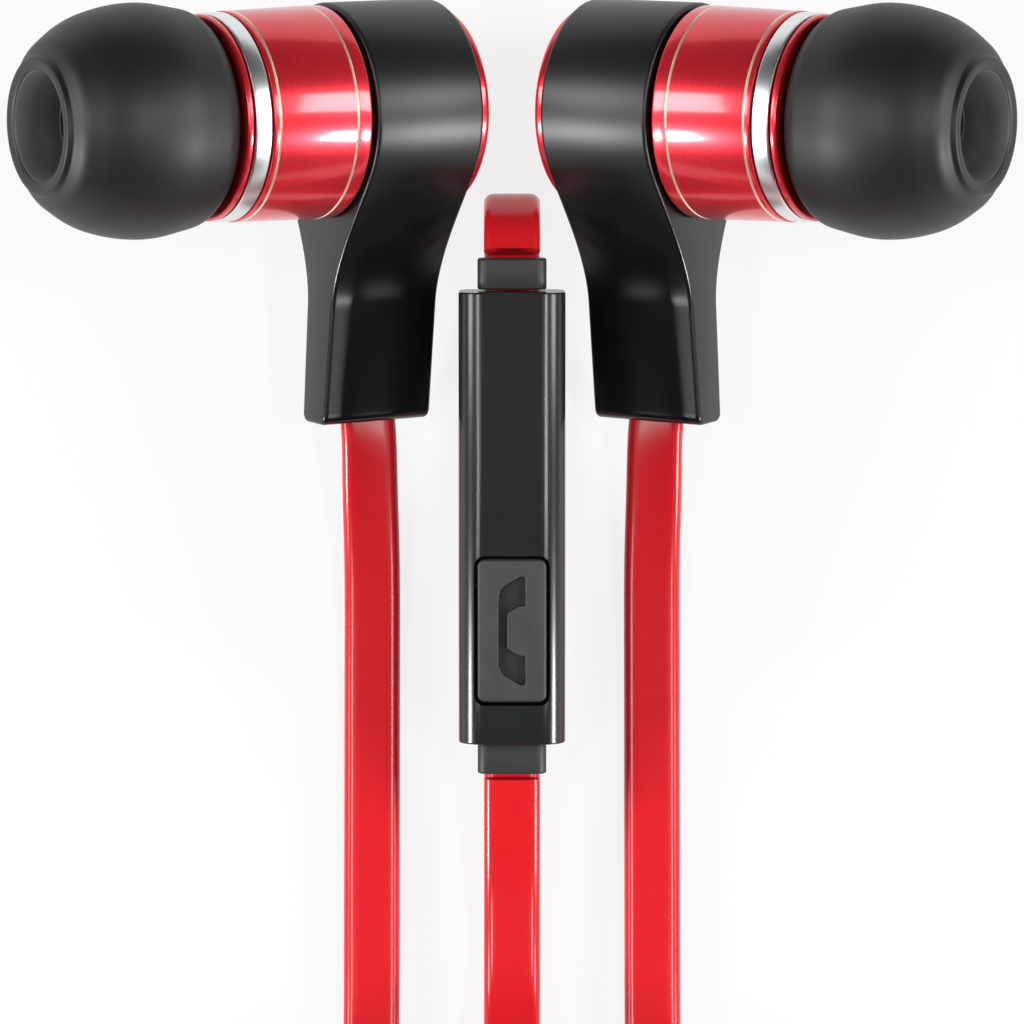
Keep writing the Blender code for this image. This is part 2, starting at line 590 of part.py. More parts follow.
# ================================================================ remote
def remote():
    """Remote with its button, board, switch, microphone and cable boots."""
    pose = empty("remote", Matrix.Translation((0.0, REMOTE_Y, REMOTE_HEIGHT))
                 @ Matrix.Rotation(REMOTE_TILT, 4, "X"))
    top = REMOTE_DEPTH / 2
    bottom = -REMOTE_DEPTH / 2
    parting = bottom + COVER_DEPTH
    inner_width = REMOTE_WIDTH - 2 * REMOTE_WALL
    inner_length = REMOTE_LENGTH - 2 * REMOTE_WALL
    ceiling = top - REMOTE_TOP_WALL
    body = (REMOTE_WIDTH, REMOTE_LENGTH, REMOTE_DEPTH)

    shell = bar("remote_shell", body, (0, 0, 0), LOOKS["soft_black"], pose, REMOTE_ROUND, 6)
    below = block("shell_below", (0.02, 0.04, 0.01), (0, 0, parting + SEAM / 2 - 0.005),
                  LOOKS["soft_black"], pose)
    hollow = block("shell_hollow", (inner_width, inner_length, 0.01), (0, 0, ceiling - 0.005),
                   LOOKS["soft_black"], pose)
    window = prism("shell_window", rounded_outline(
        BUTTON_WIDTH + 2 * BUTTON_CLEARANCE, BUTTON_LENGTH + 2 * BUTTON_CLEARANCE,
        BUTTON_ROUND + BUTTON_CLEARANCE, BUTTON_OFFSET), 0.0, 0.01, LOOKS["soft_black"], pose)
    combine(shell, [below, hollow, window], "DIFFERENCE")
    finish_smooth(shell)

    cover = bar("remote_back_cover", body, (0, 0, 0), LOOKS["soft_black"], pose, REMOTE_ROUND, 6)
    above = block("cover_above", (0.02, 0.04, 0.01), (0, 0, parting - SEAM / 2 + 0.005),
                  LOOKS["soft_black"], pose)
    tray = block("cover_tray", (inner_width, inner_length, 0.01), (0, 0, bottom + REMOTE_WALL + 0.005),
                 LOOKS["soft_black"], pose)
    combine(cover, [above, tray], "DIFFERENCE")
    finish_smooth(cover)

    plate_top = top - 0.0001
    plate_bottom = plate_top - BUTTON_THICKNESS
    plate = prism("call_button", rounded_outline(BUTTON_WIDTH, BUTTON_LENGTH, BUTTON_ROUND),
                  -BUTTON_THICKNESS, 0.0, LOOKS["button"], pose)
    plate.location = (0.0, BUTTON_OFFSET, plate_top)
    plunger = block("button_plunger", (0.0012, 0.0012, 0.0012), (0, 0, -BUTTON_THICKNESS),
                    LOOKS["button"], plate)
    combine(plate, [plunger], "UNION")

    switch_top = plate_bottom - 0.0006 - BUTTON_TRAVEL - 0.0001
    block("button_switch", (SWITCH_SIZE, SWITCH_SIZE, SWITCH_HEIGHT),
          (0.0, BUTTON_OFFSET, switch_top - SWITCH_HEIGHT / 2), LOOKS["grey"], pose)
    board_top = switch_top - SWITCH_HEIGHT - GAP
    block("remote_board", (BOARD_WIDTH, inner_length - 0.0012, BOARD_THICKNESS),
          (0, 0, board_top - BOARD_THICKNESS / 2), LOOKS["board"], pose)
    capsule = turned("microphone_capsule", [
        (0.0, 0.0009), (0.0014, 0.0009), (0.0014, 0.0), (0.0, 0.0),
    ], LOOKS["steel"], pose, steps=20)
    capsule.location = (0.0, inner_length / 2 - 0.0026, board_top + GAP)

    for name, sign in (("upper_boot", 1), ("lower_boot", -1)):
        middle = sign * (REMOTE_LENGTH / 2 + SEAM + BOOT_LENGTH / 2)
        bar(name, (BOOT_WIDTH, BOOT_LENGTH, BOOT_DEPTH), (0, middle, 0),
            LOOKS["rubber"], pose, BOOT_ROUND, 3)


# ================================================================ splitter and plug
def splitter():
    """Two halves of the splitter, flat on the table."""
    height = SPLITTER_BASE_HEIGHT + SPLITTER_TOP_HEIGHT
    size = (SPLITTER_WIDTH, SPLITTER_LENGTH, 2 * height)
    for name, low, high in (("splitter_base", 0.0, SPLITTER_BASE_HEIGHT - SEAM / 2),
                            ("splitter_top", SPLITTER_BASE_HEIGHT + SEAM / 2, height)):
        half = block(name, size, (0, 0, 0), LOOKS["soft_black"], None, 0.0010, 4)
        half.location = (0.0, SPLITTER_Y, 0.0)
        keep = block(name + "_keep", (0.02, 0.03, high - low), (0, 0, (low + high) / 2),
                     LOOKS["soft_black"])
        keep.location = half.location
        combine(half, [keep], "INTERSECT")
        finish_smooth(half)


def plug():
    """Straight 3.5 mm four-pole plug, its pin pointing along +X."""
    axis = Matrix.Translation((PLUG_START_X, PLUG_Y, PLUG_AXIS_HEIGHT))
    pose = empty("plug", axis @ Matrix.Rotation(math.radians(90), 4, "Y"))
    relief_end = RELIEF_LENGTH
    turned("plug_strain_relief", [
        (0.0, relief_end), (RELIEF_RADIUS, relief_end), (RELIEF_END_RADIUS, 0.0004),
        (RELIEF_END_RADIUS - 0.0004, 0.0), (0.0, 0.0),
    ], LOOKS["rubber"], pose, steps=24)
    grip_start = relief_end + SEAM
    grip_end = grip_start + GRIP_LENGTH
    turned("plug_grip", [
        (0.0, grip_end), (GRIP_RADIUS - 0.0004, grip_end), (GRIP_RADIUS, grip_end - 0.0004),
        (GRIP_RADIUS, grip_start + 0.0003), (GRIP_RADIUS - 0.0003, grip_start), (0.0, grip_start),
    ], LOOKS["soft_black"], pose)

    pin_start = grip_end + SEAM
    pin_end = pin_start + PIN_LENGTH
    tip_start = pin_end - PIN_TIP_LENGTH
    front_ring = tip_start - PIN_DIVIDER - PIN_RING_LENGTH
    rear_ring = front_ring - PIN_DIVIDER - PIN_RING_LENGTH
    sleeve_end = rear_ring - PIN_DIVIDER
    hole = PIN_CORE_RADIUS + 0.00015
    for name, low, high in (("plug_sleeve", pin_start, sleeve_end),
                            ("plug_ring_rear", rear_ring, rear_ring + PIN_RING_LENGTH),
                            ("plug_ring_front", front_ring, front_ring + PIN_RING_LENGTH)):
        turned(name, [(PIN_RADIUS, high), (PIN_RADIUS, low), (hole, low), (hole, high)],
               LOOKS["gold"], pose, steps=24)
    turned("plug_tip", [
        (0.0, pin_end), (0.0006, pin_end), (PIN_RADIUS * 0.86, pin_end - 0.0012),
        (PIN_RADIUS * 0.9, pin_end - 0.0016), (PIN_RADIUS * 0.66, pin_end - 0.0024),
        (PIN_RADIUS, tip_start + 0.0004), (PIN_RADIUS, tip_start), (0.0, tip_start),
    ], LOOKS["gold"], pose, steps=24)
    core = [(0.0, tip_start - SEAM)]
    for start in (tip_start - PIN_DIVIDER, front_ring - PIN_DIVIDER, rear_ring - PIN_DIVIDER):
        core.append((PIN_RADIUS - 0.00003, start + PIN_DIVIDER - SEAM))
        core.append((PIN_RADIUS - 0.00003, start + SEAM))
        core.append((PIN_CORE_RADIUS, start + SEAM))
        core.append((PIN_CORE_RADIUS, start - PIN_RING_LENGTH - SEAM))
    core.pop()
    core.append((PIN_CORE_RADIUS, pin_start + SEAM))
    core.append((0.0, pin_start + SEAM))
    turned("plug_insulator", core, LOOKS["soft_black"], pose, steps=24)


# ================================================================ cable
def cable():
    """Both legs, the link under the remote and the main lead to the plug."""
    for prefix, mirror in (("left_", 1.0), ("right_", -1.0)):
        flat_cable(prefix + "lead_run", LEG_RUN, mirror=mirror)
        coil_body(prefix + "lead_coil", -mirror * LEG_COIL_X, LEG_COIL_Y,
                  LEG_CORE_RADIUS, LEG_LAYERS, LOOKS["cable"])
        flat_cable(prefix + "lead_tail", LEG_TAIL, mirror=mirror)
    flat_cable("link_lead", LINK_RUN, spacing=0.0016, twist="MINIMUM")
    flat_cable("main_lead_run", MAIN_RUN)
    coil_body("main_lead_coil", 0.0, MAIN_COIL_Y, MAIN_CORE_RADIUS, MAIN_LAYERS, LOOKS["cable"])
    flat_cable("plug_tail", PLUG_TAIL, spacing=0.0020)


clear_scene()
PART = collection("wired_earphones")
CUTTERS = collection("cutters")
LOOKS = {
    "cable": material("red_flat_cable", RED, 0.35),
    "anodised": material("anodised_red", ANODISED_RED, 0.28, 0.9),
    "silver": material("bright_silver", SILVER, 0.2, 1.0),
    "steel": material("steel", SILVER, 0.4, 1.0),
    "gold": material("gold_plate", GOLD, 0.2, 1.0),
    "gloss_black": material("gloss_black", BLACK, 0.25),
    "soft_black": material("satin_black", SOFT_BLACK, 0.4),
    "button": material("button_grey", GREY, 0.45),
    "rubber": material("black_rubber", SOFT_BLACK, 0.6),
    "silicone": material("black_silicone", BLACK, 0.45),
    "board": material("green_board", GREEN, 0.5),
    "grey": material("grey_plastic", GREY, 0.5),
}
for bud_name, bud_side in (("left_", -1), ("right_", 1)):
    earbud(bud_name, bud_side)
remote()
splitter()
plug()
cable()
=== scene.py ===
"""Looks of the wired earphones: housings, ear tips, remote, cable, plug and stage.

The visible pieces are surfaces worked out with numpy in metres. A bud's pieces are
made along its own barrel axis and set on the table by its pose, the remote's along
the remote, and the cables follow the routes of their solids. The plug's contacts
and the pieces inside keep the frame's solids and only get new materials.
"""

import math

import bpy
import numpy as np
from mathutils import Matrix, Vector


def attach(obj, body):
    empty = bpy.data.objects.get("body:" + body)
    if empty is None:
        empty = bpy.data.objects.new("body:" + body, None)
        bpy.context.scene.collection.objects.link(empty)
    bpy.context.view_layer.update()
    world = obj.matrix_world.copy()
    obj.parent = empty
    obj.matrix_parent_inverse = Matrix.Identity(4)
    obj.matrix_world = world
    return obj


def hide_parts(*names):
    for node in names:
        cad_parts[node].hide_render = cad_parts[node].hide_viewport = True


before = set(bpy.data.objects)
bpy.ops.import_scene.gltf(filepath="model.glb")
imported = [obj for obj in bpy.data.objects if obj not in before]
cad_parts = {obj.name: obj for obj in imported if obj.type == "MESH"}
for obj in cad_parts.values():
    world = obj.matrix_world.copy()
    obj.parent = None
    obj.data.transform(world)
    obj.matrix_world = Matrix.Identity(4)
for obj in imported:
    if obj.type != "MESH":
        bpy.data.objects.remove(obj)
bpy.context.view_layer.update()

bl_info = {
    "name": "Wired Earphones",
    "version": (1, 0, 0),
    "blender": (4, 5, 0),
    "location": "View3D > Sidebar > Earphones",
    "description": "Builds a pair of wired earphones with a remote, splitter and plug",
    "category": "Add Mesh",
}

# ---------------------------------------------------------------- sizes in metres
COLLAR_HALF = 0.0032
BARREL_START = 0.0035
BARREL_END = 0.00925
BAND_START = 0.00935
BAND_END = 0.01030
RING_START = 0.01040
RING_END = 0.01075
CAP_REAR = -0.00385
CAP_RADIUS = 0.0053
BARREL_REAR_RADIUS = 0.00565
BARREL_FRONT_RADIUS = 0.00555
BAND_RADIUS = 0.0055
RING_RADIUS = 0.00543
NOZZLE_RADIUS = 0.0023
NOZZLE_END = 0.01795
TIP_REAR = 0.01105
TIP_FRONT = 0.02025
TIP_BORE = 0.0026
TIP_MOUTH_RADIUS = 0.0029
NECK_RADIUS = NOZZLE_RADIUS + 0.0006
BARREL_BORE = 0.00495
GROOVE_DEPTH = 0.00010
GROOVE_HALF = 0.00007
REAR_GROOVE = BARREL_START + 0.00085
FRONT_GROOVE = BARREL_END - 0.00035
STEM_LENGTH = 0.01665
STEM_LEAN = 0.00080
STEM_WIDTH = 0.00650
STEM_CORNER = 0.0005
STEM_SWELL = 0.00018
SATIN_END = 0.0056
SATIN_FADE = 0.0030
FLARE_START = 0.0034
FLARE_END = 0.0102
FLARE_SLOPE = -0.60
FLARE_END_SLOPE = -0.08
BUD_SPREAD = 0.00715
BUD_Y = 0.00540
BARREL_RISE = math.radians(31)
STEM_DIP = math.radians(14)

REMOTE_Y = -0.0163
REMOTE_HEIGHT = 0.0058
REMOTE_TILT = math.radians(9.7)
REMOTE_LENGTH = 0.0239
REMOTE_DEPTH = 0.0050
REMOTE_ROUND = 0.0013
COVER_DEPTH = 0.0016
SEAM = 0.0001
BUTTON_Y = -0.0059
BUTTON_CLEARANCE = 0.00018
BUTTON_ROUND = 0.0004
POCKET_DEPTH = 0.0015
SIGN_DEPTH = 0.00022
BOOT_WIDTH = 0.00365
BOOT_LENGTH = 0.00164
BOOT_DEPTH = 0.0022
BOOT_ROUND = 0.0005

SPLITTER_Y = -0.0530
SPLITTER_WIDTH = 0.0062
SPLITTER_LENGTH = 0.0120
SPLITTER_HEIGHT = 0.0033
SPLITTER_PARTING = 0.0017

PLUG_Y = -0.1268
PLUG_HEIGHT = 0.0028
GRIP_RADIUS = 0.00275
RELIEF_LENGTH = 0.0080
RIB_DEPTH = 0.00022

CABLE_THICKNESS = 0.0010
COIL_PITCH = 0.00105
COIL_HEIGHT = 0.00156
LEG_COIL = (-0.0174, -0.0660)
LEG_CORE = 0.0126
LEG_TURNS = (40, 402, 542)
MAIN_COIL = (0.0, -0.1030)
MAIN_CORE = 0.0132
MAIN_TURNS = (38, 970, 977)

# Routes: x, y, z and the cable's roll in degrees, 0 flat and 90 on edge.
LEG_RUN = [
    (-0.00780, -0.01040, 0.00308, 15), (-0.00772, -0.01125, 0.00292, 14),
    (-0.00764, -0.01400, 0.00218, 8), (-0.00755, -0.01800, 0.00130, 2),
    (-0.00753, -0.02300, 0.00080, 0), (-0.00753, -0.03000, 0.00062, 0),
    (-0.00753, -0.03800, 0.00060, 0), (-0.00753, -0.04200, 0.00068, 0),
    (-0.00753, -0.04480, 0.00090, 6), (-0.00751, -0.04700, 0.00122, 22),
    (-0.00738, -0.05030, 0.00172, 65), (-0.00690, -0.05345, 0.00158, 90),
]
LEG_TAIL = [
    (-0.00160, -0.06310, 0.00156, 90), (-0.00160, -0.06120, 0.00160, 90),
    (-0.00160, -0.05935, 0.00165, 90),
]
LINK_RUN = [
    (0.0, -0.00245, 0.00800, 0), (0.0, -0.00135, 0.00765, 0), (0.0, -0.00005, 0.00645, 0),
    (0.0, 0.00065, 0.00440, 0), (0.0, 0.00005, 0.00235, 0), (0.0, -0.00170, 0.00093, 0),
    (0.0, -0.00430, 0.00057, 0), (0.0, -0.00900, 0.00056, 0), (0.0, -0.01800, 0.00056, 0),
    (0.0, -0.02900, 0.00056, 0), (0.0, -0.03900, 0.00057, 0), (0.0, -0.04300, 0.00090, 0),
    (0.0, -0.04520, 0.00145, 0), (0.0, -0.04665, 0.00165, 0),
]
MAIN_RUN = [
    (0.0, -0.03015, 0.00345, 0), (0.0, -0.03200, 0.00300, 0), (0.0, -0.03550, 0.00215, 0),
    (0.0, -0.03900, 0.00190, 0), (0.0, -0.04200, 0.00230, 0), (0.0, -0.04450, 0.00335, 0),
    (0.0, -0.04720, 0.00425, 0), (0.0, -0.05200, 0.00445, 0), (0.0, -0.05700, 0.00455, 0),
    (0.0, -0.06000, 0.00485, 25), (0.0, -0.06300, 0.00515, 65), (0.0, -0.06650, 0.00480, 90),
    (0.0, -0.07050, 0.00340, 90), (0.00040, -0.07450, 0.00200, 90),
    (0.00210, -0.07830, 0.00158, 90), (0.00560, -0.08250, 0.00156, 90),
    (0.01050, -0.08650, 0.00156, 90), (0.01350, -0.08880, 0.00156, 90),
]
PLUG_TAIL = [
    (-0.01180, -0.11920, 0.00156, 90), (-0.00920, -0.12210, 0.00160, 90),
    (-0.00650, -0.12450, 0.00185, 90), (-0.00370, -0.12610, 0.00235, 80),
    (-0.00030, -0.12680, 0.00278, 60),
]

# Stage: each lamp's name, size, power and position.
LAMPS = (
    ("right_strip", (0.03, 0.16), 0.46, (0.17, -0.03, 0.37)),
    ("left_strip", (0.06, 0.16), 0.42, (-0.17, -0.03, 0.37)),
    ("right_key", (0.06, 0.05), 0.90, (0.32, -0.155, 0.13)),
    ("left_key", (0.06, 0.05), 0.90, (-0.32, -0.155, 0.13)),
    ("right_fill", (0.12, 0.12), 0.60, (0.33, 0.045, 0.195)),
    ("left_fill", (0.12, 0.12), 0.60, (-0.33, 0.045, 0.195)),
)
LAMP_TARGET = (0.0, -0.016, 0.0)
WORLD_STRENGTH = 0.06
TABLE_HALF = 1.2
TABLE_LEVEL = -0.0001
TABLE_GLOW = 0.84
CAMERA_TARGET = (0.0, -0.01585, 0.0030)
CAMERA_DISTANCE = 0.300
CAMERA_RISE = math.radians(85)
CAMERA_LENS = 196.7

# Stretch of the grain that runs round a turned piece, along its own map.
TURNING_MARKS = (0.4, 40.0, 1.0)

SIDES = (("left_", -1), ("right_", 1))


# ================================================================ what a user changes
def length_property(name, default, description):
    """Declare a length in metres."""
    return bpy.props.FloatProperty(
        name=name, description=description, default=default, unit="LENGTH")


def colour_property(name, default, description):
    """Declare a colour."""
    return bpy.props.FloatVectorProperty(
        name=name, description=description, default=default, size=3, min=0.0, max=1.0,
        subtype="COLOR")


class EarphoneSizes(bpy.types.PropertyGroup):
    """Sizes of the visible pieces."""

    tip_radius: length_property("Ear Tip Radius", 0.00613, "Largest radius of the silicone tip")
    collar_radius: length_property("Collar Radius", 0.00577, "Radius of the stem housing's collar")
    stem_thickness: length_property("Stem Thickness", 0.00246, "Thickness of the stem at its end")
    remote_width: length_property("Remote Width", 0.00565, "Width of the remote's casing")
    button_width: length_property("Button Width", 0.00366, "Width of the call button")
    button_length: length_property("Button Length", 0.00758, "Length of the call button")
    cable_width: length_property("Cable Width", 0.0030, "Width of the flat cable")


class EarphoneColours(bpy.types.PropertyGroup):
    """Colours of the visible pieces."""

    cable: colour_property("Cable", (0.62, 0.010, 0.016), "Colour of the flat cable")
    anodised: colour_property("Anodised Metal", (0.72, 0.020, 0.035), "Colour of barrels and rear caps")
    housing: colour_property("Housing", (0.005, 0.0055, 0.0055), "Colour of the collars and stems")
    silicone: colour_property("Silicone", (0.004, 0.0045, 0.0045), "Colour of the ear tips")
    casing: colour_property("Remote Casing", (0.012, 0.014, 0.0135), "Colour of the remote and splitter")
    button: colour_property("Button", (0.036, 0.037, 0.037), "Colour of the call button")
    band: colour_property("Bright Band", (0.80, 0.82, 0.83), "Colour of the polished band")


# ================================================================ meshes
def piece(name, points, faces, uv, material, nodes, body):
    """Put a surface into a mesh with its UV map, and let it ride on its body."""
    mesh = bpy.data.meshes.new(name)
    mesh.from_pydata(points.tolist(), [], faces)
    loops = np.empty(len(mesh.loops), dtype=np.int32)
    mesh.loops.foreach_get("vertex_index", loops)
    layer = mesh.uv_layers.new(name="surface")
    layer.data.foreach_set("uv", uv[loops].astype(np.float32).ravel())
    mesh.shade_smooth()
    mesh.set_sharp_from_angle(angle=math.radians(40))
    mesh.materials.append(material)
    obj = bpy.data.objects.new(name, mesh)
    bpy.context.scene.collection.objects.link(obj)
    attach(obj, body)
    if nodes:
        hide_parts(*nodes)
    return obj


def rounded_ends(half, edge, steps):
    """Insets and positions of the sections that round both ends of a bar with an arc.

    At an angle a from an end, the inset is edge (1 - sin a) and the distance from
    the end edge (1 - cos a).
    """
    turn = np.radians(np.linspace(0, 90, steps))
    insets = np.concatenate([edge * (1 - np.sin(turn)), edge * (1 - np.sin(turn[::-1]))])
    positions = np.concatenate([-half + edge * (1 - np.cos(turn)),
                                half - edge * (1 - np.cos(turn[::-1]))])
    return insets, positions


def paint(obj, pose, material, chosen):
    """Give a second material to the faces that are chosen by radius and height.

    Both are measured at a face's centre in the frame of the pose.
    """
    obj.data.materials.append(material)
    for face in obj.data.polygons:
        local = (np.array(face.center) - pose[:3, 3]) @ pose[:3, :3]
        if chosen(math.hypot(local[0], local[1]), local[2]):
            face.material_index = 1


def grid_faces(rows, columns, closed_rows=False):
    """Quads of a grid whose columns close on themselves, and its rows too if asked."""
    row = np.arange(rows if closed_rows else rows - 1)[:, None]
    column = np.arange(columns)[None, :]
    after_row = (row + 1) % rows
    after = (column + 1) % columns
    quads = np.stack([
        row * columns + column, row * columns + after,
        after_row * columns + after, after_row * columns + column,
    ], axis=-1)
    return quads.reshape(-1, 4).tolist()


def tube_faces(rows, columns):
    """Quads of a grid whose columns close on themselves, and a flat face at each end."""
    faces = grid_faces(rows, columns)
    faces.append(list(range(columns))[::-1])
    faces.append(list(range((rows - 1) * columns, rows * columns)))
    return faces


def loft(name, outlines, material, nodes=(), body="root"):
    """Skin a stack of outlines, each an array of points in the same order.

    The outlines run so that the skin between two of them faces outwards, and the
    first and the last are closed by flat faces.
    """
    rows, columns = len(outlines), len(outlines[0])
    points = np.concatenate(outlines)
    along = np.repeat(np.arange(rows) / (rows - 1), columns)
    around = np.tile(np.arange(columns) / columns, rows)
    uv = np.stack([around, along], axis=1)
    return piece(name, points, tube_faces(rows, columns), uv, material, nodes, body)


def fillet(corners, steps=5):
    """Round the corners of a closed (radius, height) profile.

    Each corner is (radius, height, rounding). The rounding is an arc read as a
    quadratic curve from a point before the corner to a point after it.
    """
    data = np.array(corners, dtype=float)
    before = np.roll(data[:, :2], 1, axis=0) - data[:, :2]
    after = np.roll(data[:, :2], -1, axis=0) - data[:, :2]
    length_before = np.linalg.norm(before, axis=1)
    length_after = np.linalg.norm(after, axis=1)
    reach = np.minimum(data[:, 2], 0.48 * np.minimum(length_before, length_after))
    start = data[:, :2] + before / length_before[:, None] * reach[:, None]
    end = data[:, :2] + after / length_after[:, None] * reach[:, None]
    share = np.linspace(0.0, 1.0, steps)[None, :, None]
    arcs = (1 - share) ** 2 * start[:, None] + 2 * share * (1 - share) * data[:, None, :2]
    arcs = arcs + share ** 2 * end[:, None]
    rounded = arcs.reshape(-1, 2)
    keep = np.linalg.norm(rounded - np.roll(rounded, 1, axis=0), axis=1) > 2e-7
    return rounded[keep]


def turned(name, corners, pose, material, nodes=(), body="root", steps=112, rounding=5):
    """Turn a closed profile about the local Z axis.

    A point is (r cos a, r sin a, h), with (r, h) along the rounded profile and a
    the angle. The profile goes round with its outer side running down.
    """
    profile = fillet(corners, rounding)
    angle = np.linspace(0.0, 2 * np.pi, steps, endpoint=False)
    radius = np.maximum(profile[:, 0], 2e-6)[:, None]
    x = radius * np.cos(angle)
    y = radius * np.sin(angle)
    z = np.repeat(profile[:, 1][:, None], steps, axis=1)
    points = place(np.stack([x, y, z], axis=-1).reshape(-1, 3), pose)
    faces = [face[::-1] for face in grid_faces(len(profile), steps, closed_rows=True)]
    travel = np.cumsum(np.linalg.norm(profile - np.roll(profile, 1, axis=0), axis=1))
    uv = np.stack([np.tile(angle / (2 * np.pi), len(profile)),
                   np.repeat(travel * 100, steps)], axis=1)
    if np.linalg.det(pose[:3, :3]) < 0:
        faces = [face[::-1] for face in faces]
    return piece(name, points, faces, uv, material, nodes, body)


def place(points, pose):
    """Turn and move an array of points by a pose."""
    return points @ pose[:3, :3].T + pose[:3, 3]


def turn_x(angle):
    """Rotation about X as an array."""
    c, s = math.cos(angle), math.sin(angle)
    return np.array([[1, 0, 0], [0, c, -s], [0, s, c]])


def bud_pose(side, collar_radius):
    """Pose of a bud: its local Z runs along the barrel, its local -Y down the stem."""
    dip = turn_x(STEM_DIP)
    barrel = dip @ np.array([side * math.cos(BARREL_RISE), 0.0, math.sin(BARREL_RISE)])
    upright = dip @ np.array([0.0, 1.0, 0.0])
    across = np.cross(upright, barrel)
    rise = barrel[2]
    pose = np.eye(4)
    pose[:3, :3] = np.stack([across, upright, barrel], axis=1)
    height = COLLAR_HALF * rise + collar_radius * math.sqrt(1 - rise * rise)
    pose[:3, 3] = (side * BUD_SPREAD, BUD_Y, height)
    return pose


def remote_pose():
    """Pose of the remote: its local Y runs towards the buds, its local Z up."""
    pose = np.eye(4)
    pose[:3, :3] = turn_x(REMOTE_TILT)
    pose[:3, 3] = (0.0, REMOTE_Y, REMOTE_HEIGHT)
    return pose


def rounded_rectangle(width, length, corner, height, centre_y=0.0, corner_steps=8):
    """Outline of a rectangle with round corners, counter-clockwise seen from above.

    Each side is divided as well, so that its faces stay short.
    """
    corner = max(corner, 1e-5)
    pieces = []
    side_steps = 10
    for quarter in range(4):
        sign_x = (1, -1, -1, 1)[quarter]
        sign_y = (1, 1, -1, -1)[quarter]
        angle = np.radians(90 * quarter + np.linspace(0, 90, corner_steps))
        x = sign_x * (width / 2 - corner) + corner * np.cos(angle)
        y = sign_y * (length / 2 - corner) + corner * np.sin(angle)
        pieces.append(np.stack([x, y], axis=1))
    outline = []
    for quarter in range(4):
        outline.append(pieces[quarter])
        here = pieces[quarter][-1]
        there = pieces[(quarter + 1) % 4][0]
        share = np.linspace(0, 1, side_steps + 1)[1:-1, None]
        outline.append(here + share * (there - here))
    flat = np.concatenate(outline)
    return np.stack([flat[:, 0], flat[:, 1] + centre_y, np.full(len(flat), height)], axis=1)


def smooth_route(points, spacing):
    """Read evenly spaced points from a natural cubic curve through a route's points."""
    knots = np.array(points, dtype=float)
    steps = np.linalg.norm(np.diff(knots[:, :3], axis=0), axis=1)
    where = np.concatenate([[0.0], np.cumsum(steps)])
    count = len(knots)
    system = np.eye(count)
    target = np.zeros_like(knots)
    inner = np.arange(1, count - 1)
    system[inner, inner - 1] = steps[:-1]
    system[inner, inner] = 2 * (steps[:-1] + steps[1:])
    system[inner, inner + 1] = steps[1:]
    rises = np.diff(knots, axis=0) / steps[:, None]
    target[1:-1] = 6 * np.diff(rises, axis=0)
    bends = np.linalg.solve(system, target)
    read = np.linspace(0.0, where[-1], max(2, round(where[-1] / spacing)) + 1)
    span = np.clip(np.searchsorted(where, read, side="right") - 1, 0, count - 2)
    length = steps[span][:, None]
    ahead = (where[span + 1] - read)[:, None]
    behind = (read - where[span])[:, None]
    return (
        bends[span] * ahead ** 3 / (6 * length) + bends[span + 1] * behind ** 3 / (6 * length)
        + (knots[span] / length - bends[span] * length / 6) * ahead
        + (knots[span + 1] / length - bends[span + 1] * length / 6) * behind
    )


def double_spiral(centre, core, turns):
    """Route of a coil with both ends outside, entered clockwise.

    Both arms have the radius core plus one pitch for each half turn from the
    core, and two half circles of half the core's radius join them in an S. The
    turns are the bearing where the coil is entered and the sweep of each arm.
    """
    join_in, turns_in, turns_out = [math.radians(turn) for turn in turns]
    inner_angle = join_in - turns_in
    step = math.radians(15)
    inward = np.linspace(turns_in, 0.0, max(2, round(turns_in / step)) + 1)
    radius_in = core + COIL_PITCH * inward / math.pi
    angle_in = inner_angle + inward
    arm_in = np.stack([radius_in * np.cos(angle_in), radius_in * np.sin(angle_in)], axis=1)
    half = np.linspace(0.0, math.pi, 11)[1:]
    middle = np.array([math.cos(inner_angle), math.sin(inner_angle)]) * core / 2
    first = middle + core / 2 * np.stack(
        [np.cos(inner_angle - half), np.sin(inner_angle - half)], axis=1)
    second = -middle + core / 2 * np.stack(
        [np.cos(inner_angle + half), np.sin(inner_angle + half)], axis=1)
    outward = np.linspace(0.0, turns_out, max(2, round(turns_out / step)) + 1)[1:]
    radius_out = core + COIL_PITCH * outward / math.pi
    angle_out = inner_angle + math.pi + outward
    arm_out = np.stack([radius_out * np.cos(angle_out), radius_out * np.sin(angle_out)], axis=1)
    flat = np.concatenate([arm_in, first, second, arm_out]) + np.array(centre)
    rest = np.tile([COIL_HEIGHT, 90.0], (len(flat), 1))
    return np.concatenate([flat, rest], axis=1)


